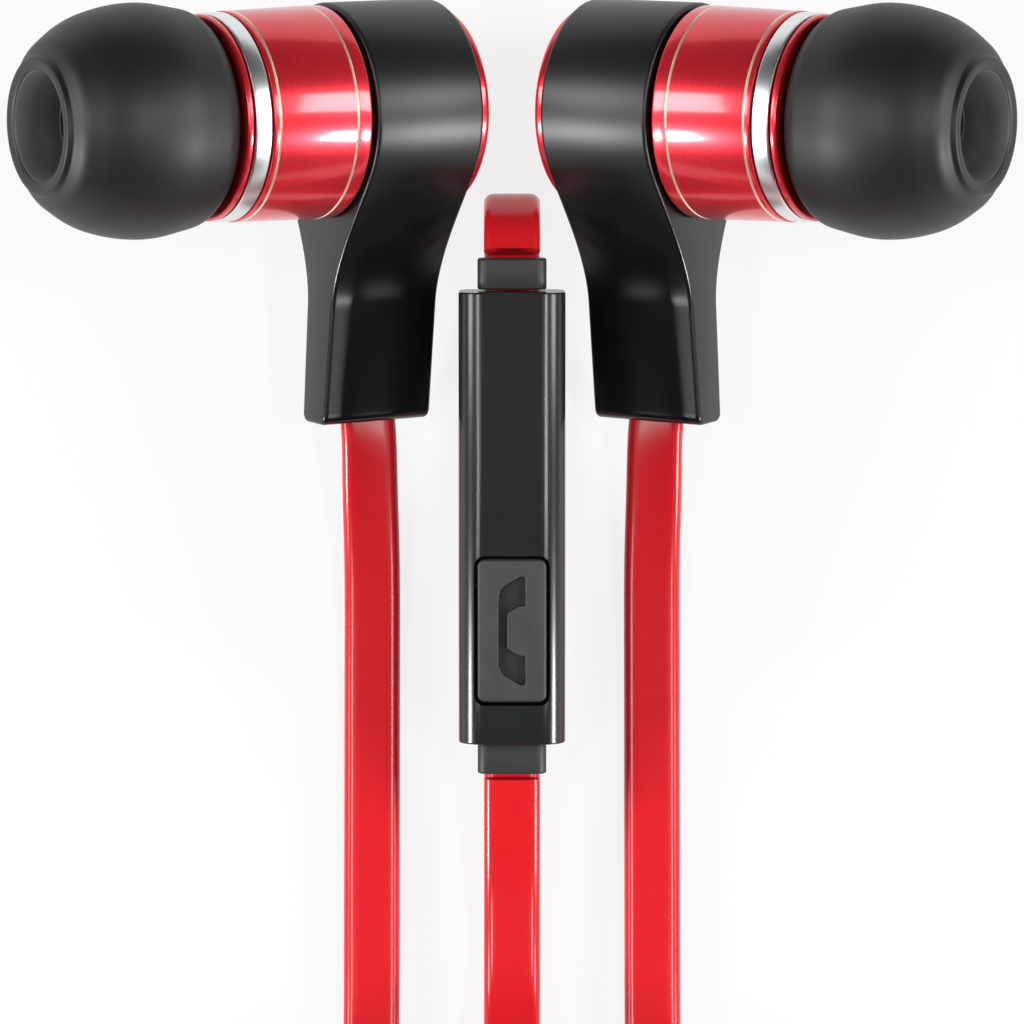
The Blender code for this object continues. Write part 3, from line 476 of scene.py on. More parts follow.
def flat_cable(name, route, width, material, nodes, level=None, mirror=1.0):
    """Carry a flat cable's section along a route.

    The section is a rectangle with half-round edges. A point is the route's point
    plus the section's width along the turned level direction and its thickness
    along the direction square to that and to the route.
    """
    line = smooth_route(route, 0.0005)
    line[:, 0] = line[:, 0] * mirror
    centre = line[:, :3]
    ahead = np.gradient(centre, axis=0)
    ahead = ahead / np.linalg.norm(ahead, axis=1)[:, None]
    if level is None:
        flat = np.stack([ahead[:, 1], -ahead[:, 0], np.zeros(len(ahead))], axis=1)
        flat = flat / np.linalg.norm(flat, axis=1)[:, None]
    else:
        flat = np.tile(np.array(level, dtype=float), (len(ahead), 1))
    square = np.cross(flat, ahead)
    roll = np.radians(line[:, 3])[:, None] * mirror
    wide = np.cos(roll) * flat + np.sin(roll) * square
    thin = -np.sin(roll) * flat + np.cos(roll) * square
    half = CABLE_THICKNESS / 2
    edge = (width - CABLE_THICKNESS) / 2
    turn = np.linspace(-math.pi / 2, math.pi / 2, 9)
    right = np.stack([edge + half * np.cos(turn), half * np.sin(turn)], axis=1)
    top = np.stack([np.linspace(edge, -edge, 7)[1:-1], np.full(5, half)], axis=1)
    section = np.concatenate([right, top, -right, -top])
    points = (centre[:, None] + section[None, :, 0:1] * wide[:, None]
              + section[None, :, 1:2] * thin[:, None])
    rows, columns = points.shape[:2]
    faces = tube_faces(rows, columns)
    along = np.concatenate([[0.0], np.cumsum(np.linalg.norm(np.diff(centre, axis=0), axis=1))])
    uv = np.stack([np.tile(np.arange(columns) / columns, rows),
                   np.repeat(along * 100, columns)], axis=1)
    obj = piece(name, points.reshape(-1, 3), outward(points, faces, centre, columns), uv,
                material, nodes, "root")
    return obj, centre, float(along[-1])


def outward(points, faces, centre, columns):
    """Turn the faces round if the first side face looks at the centreline."""
    flat = points.reshape(-1, 3)
    a, b, c, _ = faces[0]
    normal = np.cross(flat[b] - flat[a], flat[c] - flat[a])
    if normal @ (flat[a] - centre[0]) < 0:
        return [face[::-1] for face in faces]
    return faces


# ================================================================ materials
def surface(name, colour, roughness, metallic=0.0):
    """Start a Principled material, and return it with its nodes."""
    made = bpy.data.materials.new(name)
    made.use_nodes = True
    nodes = made.node_tree.nodes
    shader = nodes["Principled BSDF"]
    shader.inputs["Base Color"].default_value = (*colour, 1.0)
    shader.inputs["Roughness"].default_value = roughness
    shader.inputs["Metallic"].default_value = metallic
    return made, nodes, made.node_tree.links, shader


def noise_texture(nodes, scale, detail):
    """Add a noise of a scale and detail."""
    noise = nodes.new("ShaderNodeTexNoise")
    noise.inputs["Scale"].default_value = scale
    noise.inputs["Detail"].default_value = detail
    return noise


def colour_ramp(nodes, links, shader, factor, stops):
    """Lead a factor through a ramp of two (position, colour) stops to the base colour."""
    ramp = nodes.new("ShaderNodeValToRGB")
    for element, (position, colour) in zip(ramp.color_ramp.elements, stops):
        element.position = position
        element.color = (*colour, 1.0)
    links.new(factor, ramp.inputs["Fac"])
    links.new(ramp.outputs["Color"], shader.inputs["Base Color"])


def mottled(nodes, links, shader, colour, scale, spread):
    """Vary the base colour a little with a soft noise."""
    place_at = nodes.new("ShaderNodeTexCoord")
    noise = noise_texture(nodes, scale, 3.0)
    links.new(place_at.outputs["Object"], noise.inputs["Vector"])
    dark = [c * (1 - spread) for c in colour]
    light = [min(1.0, c * (1 + spread)) for c in colour]
    colour_ramp(nodes, links, shader, noise.outputs["Fac"], ((0.3, dark), (0.7, light)))


def grained(nodes, links, shader, scale, depth, strength, stretch=None):
    """Raise a fine grain, stretched along the surface's own map where asked."""
    place_at = nodes.new("ShaderNodeTexCoord")
    noise = noise_texture(nodes, scale, 4.0)
    bump = nodes.new("ShaderNodeBump")
    bump.inputs["Strength"].default_value = strength
    bump.inputs["Distance"].default_value = depth
    if stretch is None:
        links.new(place_at.outputs["Object"], noise.inputs["Vector"])
    else:
        mapping = nodes.new("ShaderNodeMapping")
        mapping.inputs["Scale"].default_value = stretch
        links.new(place_at.outputs["UV"], mapping.inputs["Vector"])
        links.new(mapping.outputs["Vector"], noise.inputs["Vector"])
    links.new(noise.outputs["Fac"], bump.inputs["Height"])
    links.new(bump.outputs["Normal"], shader.inputs["Normal"])
    return noise.outputs["Fac"]


def gloss_between(nodes, links, shader, factor, low, high):
    """Let the roughness follow a factor between two values."""
    span = nodes.new("ShaderNodeMapRange")
    span.inputs["To Min"].default_value = low
    span.inputs["To Max"].default_value = high
    links.new(factor, span.inputs["Value"])
    links.new(span.outputs["Result"], shader.inputs["Roughness"])


def cable_rubber(name, colour):
    """Smooth red elastomer with a faint moulding grain."""
    made, nodes, links, shader = surface(name, colour, 0.24)
    mottled(nodes, links, shader, colour, 900.0, 0.03)
    grain = grained(nodes, links, shader, 9000.0, 0.000006, 0.12)
    gloss_between(nodes, links, shader, grain, 0.20, 0.27)
    return made


def anodised_metal(name, colour):
    """Anodised aluminium with fine turning marks round the barrel."""
    made, nodes, links, shader = surface(name, colour, 0.27, 0.6)
    mottled(nodes, links, shader, colour, 500.0, 0.03)
    grain = grained(nodes, links, shader, 60.0, 0.000002, 0.2, TURNING_MARKS)
    gloss_between(nodes, links, shader, grain, 0.24, 0.32)
    shader.inputs["Coat Weight"].default_value = 0.7
    shader.inputs["Coat Roughness"].default_value = 0.10
    return made


def polished_metal(name, colour, low, high, metallic=1.0):
    """Polished metal with faint turning marks."""
    made, nodes, links, shader = surface(name, colour, low, metallic)
    grain = grained(nodes, links, shader, 60.0, 0.000004, 0.25, TURNING_MARKS)
    gloss_between(nodes, links, shader, grain, low, high)
    return made


def moulded_plastic(name, colour, low, high, scale=7000.0, strength=0.2):
    """Moulded plastic or rubber with a fine even grain."""
    made, nodes, links, shader = surface(name, colour, low)
    mottled(nodes, links, shader, colour, 700.0, 0.10)
    grain = grained(nodes, links, shader, scale, 0.000012, strength)
    gloss_between(nodes, links, shader, grain, low, high)
    return made


def satin_to_gloss(name, colour):
    """Black plastic that is satin round the collar and glossy down the stem.

    The roughness follows the mesh's own satin attribute, 1 on the collar.
    """
    made, nodes, links, shader = surface(name, colour, 0.3)
    mottled(nodes, links, shader, colour, 700.0, 0.08)
    grained(nodes, links, shader, 6000.0, 0.000004, 0.05)
    share = nodes.new("ShaderNodeAttribute")
    share.attribute_name = "satin"
    gloss_between(nodes, links, shader, share.outputs["Fac"], 0.22, 0.38)
    return made


def woven_mesh(name):
    """Fine steel mesh across the sound nozzle."""
    made, nodes, links, shader = surface(name, (0.30, 0.30, 0.30), 0.45, 0.8)
    place_at = nodes.new("ShaderNodeTexCoord")
    weave = nodes.new("ShaderNodeTexVoronoi")
    weave.inputs["Scale"].default_value = 5200.0
    links.new(place_at.outputs["Object"], weave.inputs["Vector"])
    stops = ((0.2, (0.02, 0.02, 0.02)), (0.5, (0.42, 0.42, 0.42)))
    colour_ramp(nodes, links, shader, weave.outputs["Distance"], stops)
    return made


def look(name, maker, *values):
    """Find a finished material by its name, or make it."""
    return bpy.data.materials.get(name) or maker(name, *values)


def anodised_look(colours):
    """Red anodised metal of the barrels and caps."""
    return look("anodised_red_metal", anodised_metal, colours.anodised)


def casing_look(colours):
    """Satin black plastic of the remote and splitter."""
    return look("casing_plastic", moulded_plastic, colours.casing, 0.21, 0.26, 6000.0, 0.04)


def rubber_look():
    """Matte black rubber of the boots, strain relief and grommets."""
    return look("boot_rubber", moulded_plastic, (0.020, 0.021, 0.021), 0.42, 0.52)


def finish_solid(name, material):
    """Give one of the frame's own solids a material."""
    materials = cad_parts[name].data.materials
    materials.clear()
    materials.append(material)


# ================================================================ pieces
class EARPHONES_OT_ear_tips(bpy.types.Operator):
    """Make both silicone ear tips"""

    bl_idname = "earphones.ear_tips"
    bl_label = "Ear Tips"

    def execute(self, context):
        sizes = context.scene.earphone_sizes
        colours = context.scene.earphone_colours
        silicone = look("black_silicone", moulded_plastic, colours.silicone, 0.46, 0.52, 9000.0, 0.10)
        # The bore's wall gets a lighter grey than the black tip: a painted highlight where lamp light
        # would fall inside the bore.
        bore_highlight = look("bore_silicone", moulded_plastic, (0.10, 0.10, 0.102), 0.40, 0.50, 9000.0, 0.10)
        radius = sizes.tip_radius
        wall = 0.0005
        widest = TIP_REAR + 0.0031
        core = TIP_BORE + wall
        corners = [
            (0.00335, TIP_FRONT, 0.0002), (0.00358, TIP_FRONT - 0.00006, 0.0001),
            (0.00366, TIP_FRONT - 0.00034, 0.0001), (radius * 0.71, TIP_FRONT - 0.00068, 0.002),
            (radius * 0.90, TIP_FRONT - 0.0023, 0.002), (radius * 0.99, TIP_FRONT - 0.0043, 0.002),
            (radius * 1.012, widest, 0.002), (radius * 0.93, TIP_REAR + 0.0006, 0.001),
            (radius * 0.84, TIP_REAR, 0.0002), (radius * 0.84 - 0.0004, TIP_REAR + 0.0001, 0.0002),
            (radius * 0.91 - wall, widest - 0.0018, 0.001), (radius - wall, widest, 0.002),
            (radius * 0.935 - wall, TIP_FRONT - 0.0037, 0.001),
            (radius * 0.83 - wall, TIP_FRONT - 0.0023, 0.001),
            (core + 0.0004, TIP_FRONT - 0.0014, 0.0003), (core, TIP_FRONT - 0.0018, 0.0003),
            (core, RING_END + 0.0016, 0.0002), (TIP_BORE, RING_END + 0.0016, 0.0002),
            (TIP_BORE, TIP_FRONT - 0.0009, 0.0004),
            (TIP_MOUTH_RADIUS, TIP_FRONT - 0.0001, 0.0002),
        ]
        for prefix, side in SIDES:
            pose = bud_pose(side, sizes.collar_radius)
            tip = turned(prefix + "silicone_tip", corners, pose, silicone,
                         [prefix + "ear_tip"], prefix + "ear_tip", rounding=7)
            # Painted highlight: the faces in the bore get the lighter grey.
            paint(tip, pose, bore_highlight, in_tip_bore)
        return {"FINISHED"}


def in_tip_bore(radius, height):
    """Whether a place on an ear tip is on the wall of its bore, which gets a lighter grey as a painted
    highlight.
    """
    return radius < TIP_MOUTH_RADIUS and height > RING_END + 0.0018


def in_groove(radius, height):
    """Whether a place on a barrel is in one of its grooves, whose bare cut metal is given a bright warm
    tint as a painted glint.
    """
    reach = min(abs(height - REAR_GROOVE), abs(height - FRONT_GROOVE))
    return reach < GROOVE_HALF and radius > BARREL_BORE + 0.00025


class EARPHONES_OT_barrels(bpy.types.Operator):
    """Make both barrels with their bands, front rings and nozzles"""

    bl_idname = "earphones.barrels"
    bl_label = "Barrels"

    def execute(self, context):
        sizes = context.scene.earphone_sizes
        colours = context.scene.earphone_colours
        red = anodised_look(colours)
        bright = look("bright_band_metal", polished_metal, colours.band, 0.26, 0.34)
        # The grooves' faces are bare cut metal, given a bright warm tint as a painted glint.
        groove_glint = look("bright_cut_groove", polished_metal, (0.92, 0.74, 0.62), 0.28, 0.36, 0.7)
        black = look("nozzle_plastic", moulded_plastic, (0.006, 0.006, 0.006), 0.4, 0.5)
        barrel = [(BARREL_FRONT_RADIUS, BARREL_END, 0.00010)]
        for radius, groove in ((BARREL_FRONT_RADIUS, FRONT_GROOVE), (BARREL_REAR_RADIUS, REAR_GROOVE)):
            barrel += [
                (radius, groove + GROOVE_HALF, 0.00002), (radius - GROOVE_DEPTH, groove, 0.00003),
                (radius, groove - GROOVE_HALF, 0.00002),
            ]
        floor = BARREL_START + 0.0006
        barrel += [
            (BARREL_REAR_RADIUS, BARREL_START, 0.00012), (0.0016, BARREL_START, 0.00005),
            (0.0016, floor, 0.00005), (BARREL_BORE, floor, 0.00005), (BARREL_BORE, BARREL_END, 0.00005),
        ]
        band = [
            (BAND_RADIUS, BAND_END, 0.00010), (BAND_RADIUS, BAND_START, 0.00010),
            (BARREL_BORE, BAND_START, 0.00003), (BARREL_BORE, BAND_END, 0.00003),
        ]
        seat = BARREL_END - 0.0010
        back = RING_START - 0.0003
        ring = [
            (NECK_RADIUS, RING_END, 0.0001), (RING_RADIUS, RING_END, 0.00015),
            (RING_RADIUS, RING_START, 0.00008), (0.00465, RING_START, 0.00003),
            (0.00465, seat, 0.00005), (0.00415, seat, 0.00005),
            (0.00415, back, 0.0001), (NECK_RADIUS, back, 0.0001),
        ]
        screen = NOZZLE_END - 0.0008
        nozzle = [
            (0.00185, NOZZLE_END, 0.00005), (NOZZLE_RADIUS, NOZZLE_END, 0.00025),
            (NOZZLE_RADIUS, RING_END + 0.0002, 0.0004), (NECK_RADIUS, RING_END - 0.00002, 0.0002),
            (NECK_RADIUS, back, 0.0001), (0.00145, RING_START, 0.0001),
            (0.00145, screen, 0.00003), (0.00185, screen, 0.00003),
        ]
        for prefix, side in SIDES:
            pose = bud_pose(side, sizes.collar_radius)
            skin = turned(prefix + "barrel_skin", barrel, pose, red,
                          [prefix + "barrel"])
            # Painted glint: the groove faces get the bright warm metal.
            paint(skin, pose, groove_glint, in_groove)
            turned(prefix + "band_skin", band, pose, bright,
                   [prefix + "silver_band"])
            turned(prefix + "ring_skin", ring, pose, red,
                   [prefix + "front_housing"])
            turned(prefix + "nozzle_skin", nozzle, pose, black)
        return {"FINISHED"}


def stem_outline(collar_radius, stem_thickness, inset):
    """Outline of collar and stem in the local XY plane, moved inwards by inset.

    The top is an arc of the collar's circle. Each side leaves the circle and
    follows a cubic down to the slender stem, and the end has round corners.
    """
    end = stem_thickness / 2 + STEM_SWELL
    start = math.sqrt(collar_radius ** 2 - FLARE_START ** 2)
    down = np.linspace(FLARE_START, STEM_LENGTH - STEM_CORNER, 60)
    length = FLARE_END - FLARE_START
    t = np.clip((down - FLARE_START) / length, 0, 1)
    flare = ((2 * t ** 3 - 3 * t ** 2 + 1) * start + (t ** 3 - 2 * t ** 2 + t) * length * FLARE_SLOPE
             + (3 * t ** 2 - 2 * t ** 3) * end + (t ** 3 - t ** 2) * length * FLARE_END_SLOPE)
    share = np.clip((down - FLARE_END) / (STEM_LENGTH - FLARE_END), 0, 1)
    half = np.where(down < FLARE_END, flare, end + share * (stem_thickness / 2 - end))
    corner = np.radians(np.linspace(0, 90, 7)[1:])
    corner_x = half[-1] - STEM_CORNER + STEM_CORNER * np.cos(corner)
    corner_y = -(STEM_LENGTH - STEM_CORNER) - STEM_CORNER * np.sin(corner)
    side_x = np.concatenate([half, corner_x])
    side_y = np.concatenate([-down, corner_y])
    start_angle = math.atan2(-FLARE_START, start)
    angle = np.linspace(start_angle, math.pi - start_angle, 110)[1:-1]
    arc = np.stack([collar_radius * np.cos(angle), collar_radius * np.sin(angle)], axis=1)
    right = np.stack([side_x, side_y], axis=1)[::-1]
    left = np.stack([-side_x, side_y], axis=1)
    outline = np.concatenate([right, arc, left])
    before = np.roll(outline, 1, axis=0)
    after = np.roll(outline, -1, axis=0)
    along = after - before
    along = along / np.linalg.norm(along, axis=1)[:, None]
    inwards = np.stack([-along[:, 1], along[:, 0]], axis=1)
    return outline + inwards * inset


class EARPHONES_OT_housings(bpy.types.Operator):
    """Make both collar and stem housings and their rear caps"""

    bl_idname = "earphones.housings"
    bl_label = "Stem Housings"

    def execute(self, context):
        sizes = context.scene.earphone_sizes
        colours = context.scene.earphone_colours
        black = look("housing_plastic", satin_to_gloss, colours.housing)
        red = anodised_look(colours)
        insets, heights = rounded_ends(COLLAR_HALF, 0.00022, 7)
        cap = [
            (0.0, -COLLAR_HALF + 0.0003, 0), (0.0041, -COLLAR_HALF + 0.0003, 0.0001),
            (0.0047, -COLLAR_HALF - 0.0001, 0.00005), (CAP_RADIUS, -COLLAR_HALF - 0.0001, 0.00005),
            (CAP_RADIUS, CAP_REAR, 0.00035), (0.0, CAP_REAR, 0),
        ]
        for prefix, side in SIDES:
            pose = bud_pose(side, sizes.collar_radius)
            outlines = []
            for inset, height in zip(insets, heights):
                flat = stem_outline(sizes.collar_radius, sizes.stem_thickness, inset)
                share = np.clip((-flat[:, 1] - FLARE_START) / (STEM_LENGTH - FLARE_START), 0, 1)
                width = 1 + share * (STEM_WIDTH / (2 * COLLAR_HALF) - 1)
                local = np.stack([flat[:, 0], flat[:, 1], height * width + share * STEM_LEAN], axis=1)
                outlines.append(place(local, pose))
            skin = loft(prefix + "housing_skin", outlines, black,
                        [prefix + "stem_housing"])
            share = np.clip((flat[:, 1] + SATIN_END) / SATIN_FADE, 0, 1)
            satin = skin.data.attributes.new("satin", "FLOAT", "POINT")
            satin.data.foreach_set("value", np.tile(share, len(outlines)).astype(np.float32))
            turned(prefix + "cap_skin", cap, pose, red, [prefix + "rear_cap"])
        return {"FINISHED"}


def bar_section(width, depth, rounding, low, high, corner_steps=12):
    """Section of a rounded bar in x and z, cut off below and above.

    It is a rectangle with round corners whose heights are limited to a band.
    """
    flat = rounded_rectangle(width, depth, rounding, 0.0, corner_steps=corner_steps)
    section = np.stack([flat[:, 0], np.clip(flat[:, 1], low, high)], axis=1)
    keep = np.linalg.norm(section - np.roll(section, 1, axis=0), axis=1) > 1e-6
    return section[keep]


def bar(name, section, length, centre, edge, pose, material, nodes):
    """Carry a section along Y, shrunk towards its middle where its ends are rounded."""
    insets, along = rounded_ends(length / 2, edge, 5)
    middle = (section.min(axis=0) + section.max(axis=0)) / 2
    half = (section.max(axis=0) - section.min(axis=0)) / 2
    outlines = []
    for inset, y in zip(insets, along):
        small = middle + (section - middle) * (1 - inset / half)
        rows = np.stack([small[:, 0], np.full(len(small), y), small[:, 1]], axis=1)
        outlines.append(place(rows[::-1] + np.array(centre), pose))
    return loft(name, outlines, material, nodes)


def cut(obj, outline, low, high, pose, material):
    """Cut a prism of an outline, between two heights, out of a piece."""
    count = len(outline)
    base = np.column_stack([outline, np.full(count, low)])
    lid = np.column_stack([outline, np.full(count, high)])
    faces = [[i, (i + 1) % count, (i + 1) % count + count, i + count] for i in range(count)]
    faces.append(list(range(count))[::-1])
    faces.append(list(range(count, 2 * count)))
    mesh = bpy.data.meshes.new("cutter")
    mesh.from_pydata(place(np.concatenate([base, lid]), pose).tolist(), [], faces)
    mesh.materials.append(material)
    cutter = bpy.data.objects.new("cutter", mesh)
    bpy.context.scene.collection.objects.link(cutter)
    step = obj.modifiers.new("cut", "BOOLEAN")
    step.operation = "DIFFERENCE"
    step.solver = "EXACT"
    step.object = cutter
    if material.name not in obj.data.materials:
        obj.data.materials.append(material)
    bpy.context.view_layer.update()
    made = bpy.data.meshes.new_from_object(obj.evaluated_get(bpy.context.evaluated_depsgraph_get()))
    obj.modifiers.clear()
    obj.data = made
    bpy.data.objects.remove(cutter, do_unlink=True)


def soften(obj, width):
    """Round the sharp edges of a finished mesh a little."""
    bevel = obj.modifiers.new("soft_edges", "BEVEL")
    bevel.width = width
    bevel.segments = 2
    bevel.limit_method = "ANGLE"
    bevel.angle_limit = math.radians(50)
    obj.data.shade_smooth()
    obj.data.set_sharp_from_angle(angle=math.radians(40))


class EARPHONES_OT_remote(bpy.types.Operator):
    """Make the remote's casing, back cover and cable boots"""

    bl_idname = "earphones.remote"
    bl_label = "Remote"

    def execute(self, context):
        sizes = context.scene.earphone_sizes
        colours = context.scene.earphone_colours
        black = casing_look(colours)
        rubber = rubber_look()
        pose = remote_pose()
        top = REMOTE_DEPTH / 2
        parting = -top + COVER_DEPTH
        width = sizes.remote_width
        upper = bar_section(width, REMOTE_DEPTH, REMOTE_ROUND, parting + SEAM / 2, top)
        casing = bar("remote_casing", upper, REMOTE_LENGTH, (0, 0, 0), 0.00010, pose, black,
                     ["remote_shell"])
        hole = rounded_rectangle(sizes.button_width + 2 * BUTTON_CLEARANCE,
                                 sizes.button_length + 2 * BUTTON_CLEARANCE,
                                 BUTTON_ROUND + BUTTON_CLEARANCE, 0.0, BUTTON_Y)[:, :2]
        cut(casing, hole, top - POCKET_DEPTH, top + 0.001, pose, black)
        soften(casing, 0.00005)
        lower = bar_section(width, REMOTE_DEPTH, REMOTE_ROUND, -top, parting - SEAM / 2)
        bar("remote_back", lower, REMOTE_LENGTH, (0, 0, 0), 0.00010, pose, black,
            ["remote_back_cover"])
        boot = bar_section(BOOT_WIDTH, BOOT_DEPTH, BOOT_ROUND, -BOOT_DEPTH, BOOT_DEPTH)
        for name, sign in (("upper", 1), ("lower", -1)):
            middle = sign * (REMOTE_LENGTH / 2 + SEAM + BOOT_LENGTH / 2)
            bar(name + "_boot_skin", boot, BOOT_LENGTH, (0, middle, 0), 0.00012, pose, rubber,
                [name + "_boot"])
        return {"FINISHED"}


def handset_outline():
    """Outline of a handset sign: a spine with an earpiece and a mouthpiece."""
    upper = [
        (-0.00072, 0.00185), (-0.00058, 0.00220), (-0.00040, 0.00238), (0.00045, 0.00287),
        (0.00062, 0.00287), (0.00072, 0.00277), (0.00072, 0.00142), (0.00066, 0.00134),
        (0.00034, 0.00130), (-0.00010, 0.00104), (-0.00022, 0.00092), (-0.00025, 0.00080),
    ]
    lower = [(x, -y) for x, y in reversed(upper)]
    return (upper + lower)[::-1]


class EARPHONES_OT_call_button(bpy.types.Operator):
    """Make the call button with its engraved handset sign"""

    bl_idname = "earphones.call_button"
    bl_label = "Call Button"

    def execute(self, context):
        sizes = context.scene.earphone_sizes
        colours = context.scene.earphone_colours
        grey = look("button_plastic", moulded_plastic, colours.button, 0.42, 0.52)
        dark = look("sign_plastic", moulded_plastic, (0.002, 0.002, 0.002), 0.6, 0.7)
        pose = remote_pose()
        width, length = sizes.button_width, sizes.button_length
        top = REMOTE_DEPTH / 2 - 0.0001
        edge = 0.00016
        stack = [rounded_rectangle(width, length, BUTTON_ROUND, top - 0.0008, BUTTON_Y)]
        for angle in np.radians(np.linspace(0, 90, 6)):
            inset = edge * (1 - math.cos(angle))
            height = top - edge * (1 - math.sin(angle))
            stack.append(rounded_rectangle(width - 2 * inset, length - 2 * inset,
                                           BUTTON_ROUND - inset, height, BUTTON_Y))
        button = loft("button_cap", [place(outline, pose) for outline in stack], grey,
                      ["call_button"], "call_button")
        sign = np.array(handset_outline()) + np.array([0.0, BUTTON_Y])
        cut(button, sign, top - SIGN_DEPTH, top + 0.0004, pose, dark)
        soften(button, 0.00003)
        return {"FINISHED"}


class EARPHONES_OT_cables(bpy.types.Operator):
    """Lay both legs, the link under the remote and the main lead"""

    bl_idname = "earphones.cables"
    bl_label = "Cables"

    def execute(self, context):
        sizes = context.scene.earphone_sizes
        colours = context.scene.earphone_colours
        red = look("red_cable_rubber", cable_rubber, colours.cable)
        width = sizes.cable_width
        leg = np.concatenate([LEG_RUN, double_spiral(LEG_COIL, LEG_CORE, LEG_TURNS), LEG_TAIL])
        for prefix, mirror in (("left_", 1.0), ("right_", -1.0)):
            nodes = [prefix + "lead_run", prefix + "lead_coil", prefix + "lead_tail"]
            obj, centre, length = flat_cable(prefix + "cable", leg, width, red, nodes, mirror=mirror)
        link, centre, length = flat_cable("link_cable", LINK_RUN[::-1], width, red, ["link_lead"],
                                          level=(1.0, 0.0, 0.0))
        main = np.concatenate([MAIN_RUN, double_spiral(MAIN_COIL, MAIN_CORE, MAIN_TURNS), PLUG_TAIL])
        lead, centre, length = flat_cable("main_cable", main, width, red,
                                          ["main_lead_run", "main_lead_coil", "plug_tail"])
        return {"FINISHED"}


class EARPHONES_OT_coil_ties(bpy.types.Operator):
    """Put a small tie across the turns of each coil"""

    bl_idname = "earphones.coil_ties"
    bl_label = "Coil Ties"

    def execute(self, context):
        sizes = context.scene.earphone_sizes
        black = look("tie_rubber", moulded_plastic, (0.015, 0.015, 0.016), 0.5, 0.6)
        height = sizes.cable_width
        ties = (
            ("left_coil_tie", LEG_COIL, LEG_CORE - 0.0006, 0.0162, 200),
            ("right_coil_tie", (-LEG_COIL[0], LEG_COIL[1]), LEG_CORE - 0.0006, 0.0162, -20),
            ("main_coil_tie", MAIN_COIL, MAIN_CORE - 0.0006, 0.0197, 170),
        )
        for name, centre, inner, outer, bearing in ties:
            angle = math.radians(bearing)
            out = np.array([math.cos(angle), math.sin(angle), 0.0])
            across = np.array([-out[1], out[0], 0.0])
            middle = np.array([centre[0], centre[1], COIL_HEIGHT]) + out * (inner + outer) / 2
            ring = rounded_rectangle(outer - inner, height + 0.0003, 0.0004, 0.0, corner_steps=6)
            local = ring[:, 0:1] * out + ring[:, 1:2] * np.array([0.0, 0.0, 1.0])
            shrunk = 1 - 0.00016 / np.linalg.norm(local, axis=1)[:, None]
            outlines = []
            for scale, offset in ((shrunk, -0.0012), (1.0, -0.0011), (1.0, 0.0011), (shrunk, 0.0012)):
                outline = middle + local * scale + across * offset
                outlines.append(np.maximum(outline, [-1, -1, 0.00002]))
            loft(name, outlines, black)
        return {"FINISHED"}


class EARPHONES_OT_splitter(bpy.types.Operator):
    """Make the splitter's two halves"""

    bl_idname = "earphones.splitter"
    bl_label = "Splitter"

    def execute(self, context):
        colours = context.scene.earphone_colours
        black = casing_look(colours)
        depth = 2 * SPLITTER_HEIGHT
        halves = (("splitter_base", 0.0, SPLITTER_PARTING - SEAM / 2),
                  ("splitter_top", SPLITTER_PARTING + SEAM / 2, SPLITTER_HEIGHT))
        for name, low, high in halves:
            section = bar_section(SPLITTER_WIDTH, depth, 0.0010, low, high)
            bar(name + "_skin", section, SPLITTER_LENGTH, (0, SPLITTER_Y, 0), 0.0005, np.eye(4),
                black, [name])
        return {"FINISHED"}


class EARPHONES_OT_plug(bpy.types.Operator):
    """Make the plug's grip and ribbed strain relief, and gild its contacts"""

    bl_idname = "earphones.plug"
    bl_label = "Plug"

    def execute(self, context):
        colours = context.scene.earphone_colours
        black = casing_look(colours)
        rubber = rubber_look()
        gold = look("gold_plate", polished_metal, (0.83, 0.60, 0.24), 0.16, 0.24)
        pose = np.eye(4)
        pose[:3, :3] = np.array([[0, 0, 1], [0, 1, 0], [-1, 0, 0]])
        pose[:3, 3] = (0.0, PLUG_Y, PLUG_HEIGHT)
        relief = [(0.0, RELIEF_LENGTH, 0), (0.0021, RELIEF_LENGTH, 0.0001)]
        for rib in range(6):
            start = 0.0066 - rib * 0.0011
            radius = 0.0017 + 0.0004 * start / RELIEF_LENGTH
            relief += [
                (radius, start + 0.0005, 0.00008), (radius - RIB_DEPTH, start + 0.0004, 0.00008),
                (radius - RIB_DEPTH, start + 0.0001, 0.00008), (radius, start, 0.00008),
            ]
        relief += [(0.0017, 0.0, 0.0003), (0.0, 0.0, 0)]
        turned("strain_relief_skin", relief, pose, rubber,
               ["plug_strain_relief"], steps=64, rounding=4)
        groove = GRIP_RADIUS - 0.00008
        grip = [
            (0.0, 0.0216, 0), (GRIP_RADIUS, 0.0216, 0.0004), (GRIP_RADIUS, 0.0196, 0.00005),
            (groove, 0.0195, 0.00005), (groove, 0.0192, 0.00005), (GRIP_RADIUS, 0.0191, 0.00005),
            (GRIP_RADIUS, 0.0081, 0.0004), (0.0, 0.0081, 0),
        ]
        turned("grip_skin", grip, pose, black, ["plug_grip"], steps=80)
        for name in ("plug_tip", "plug_ring_front", "plug_ring_rear", "plug_sleeve"):
            finish_solid(name, gold)
        finish_solid("plug_insulator", black)
        return {"FINISHED"}


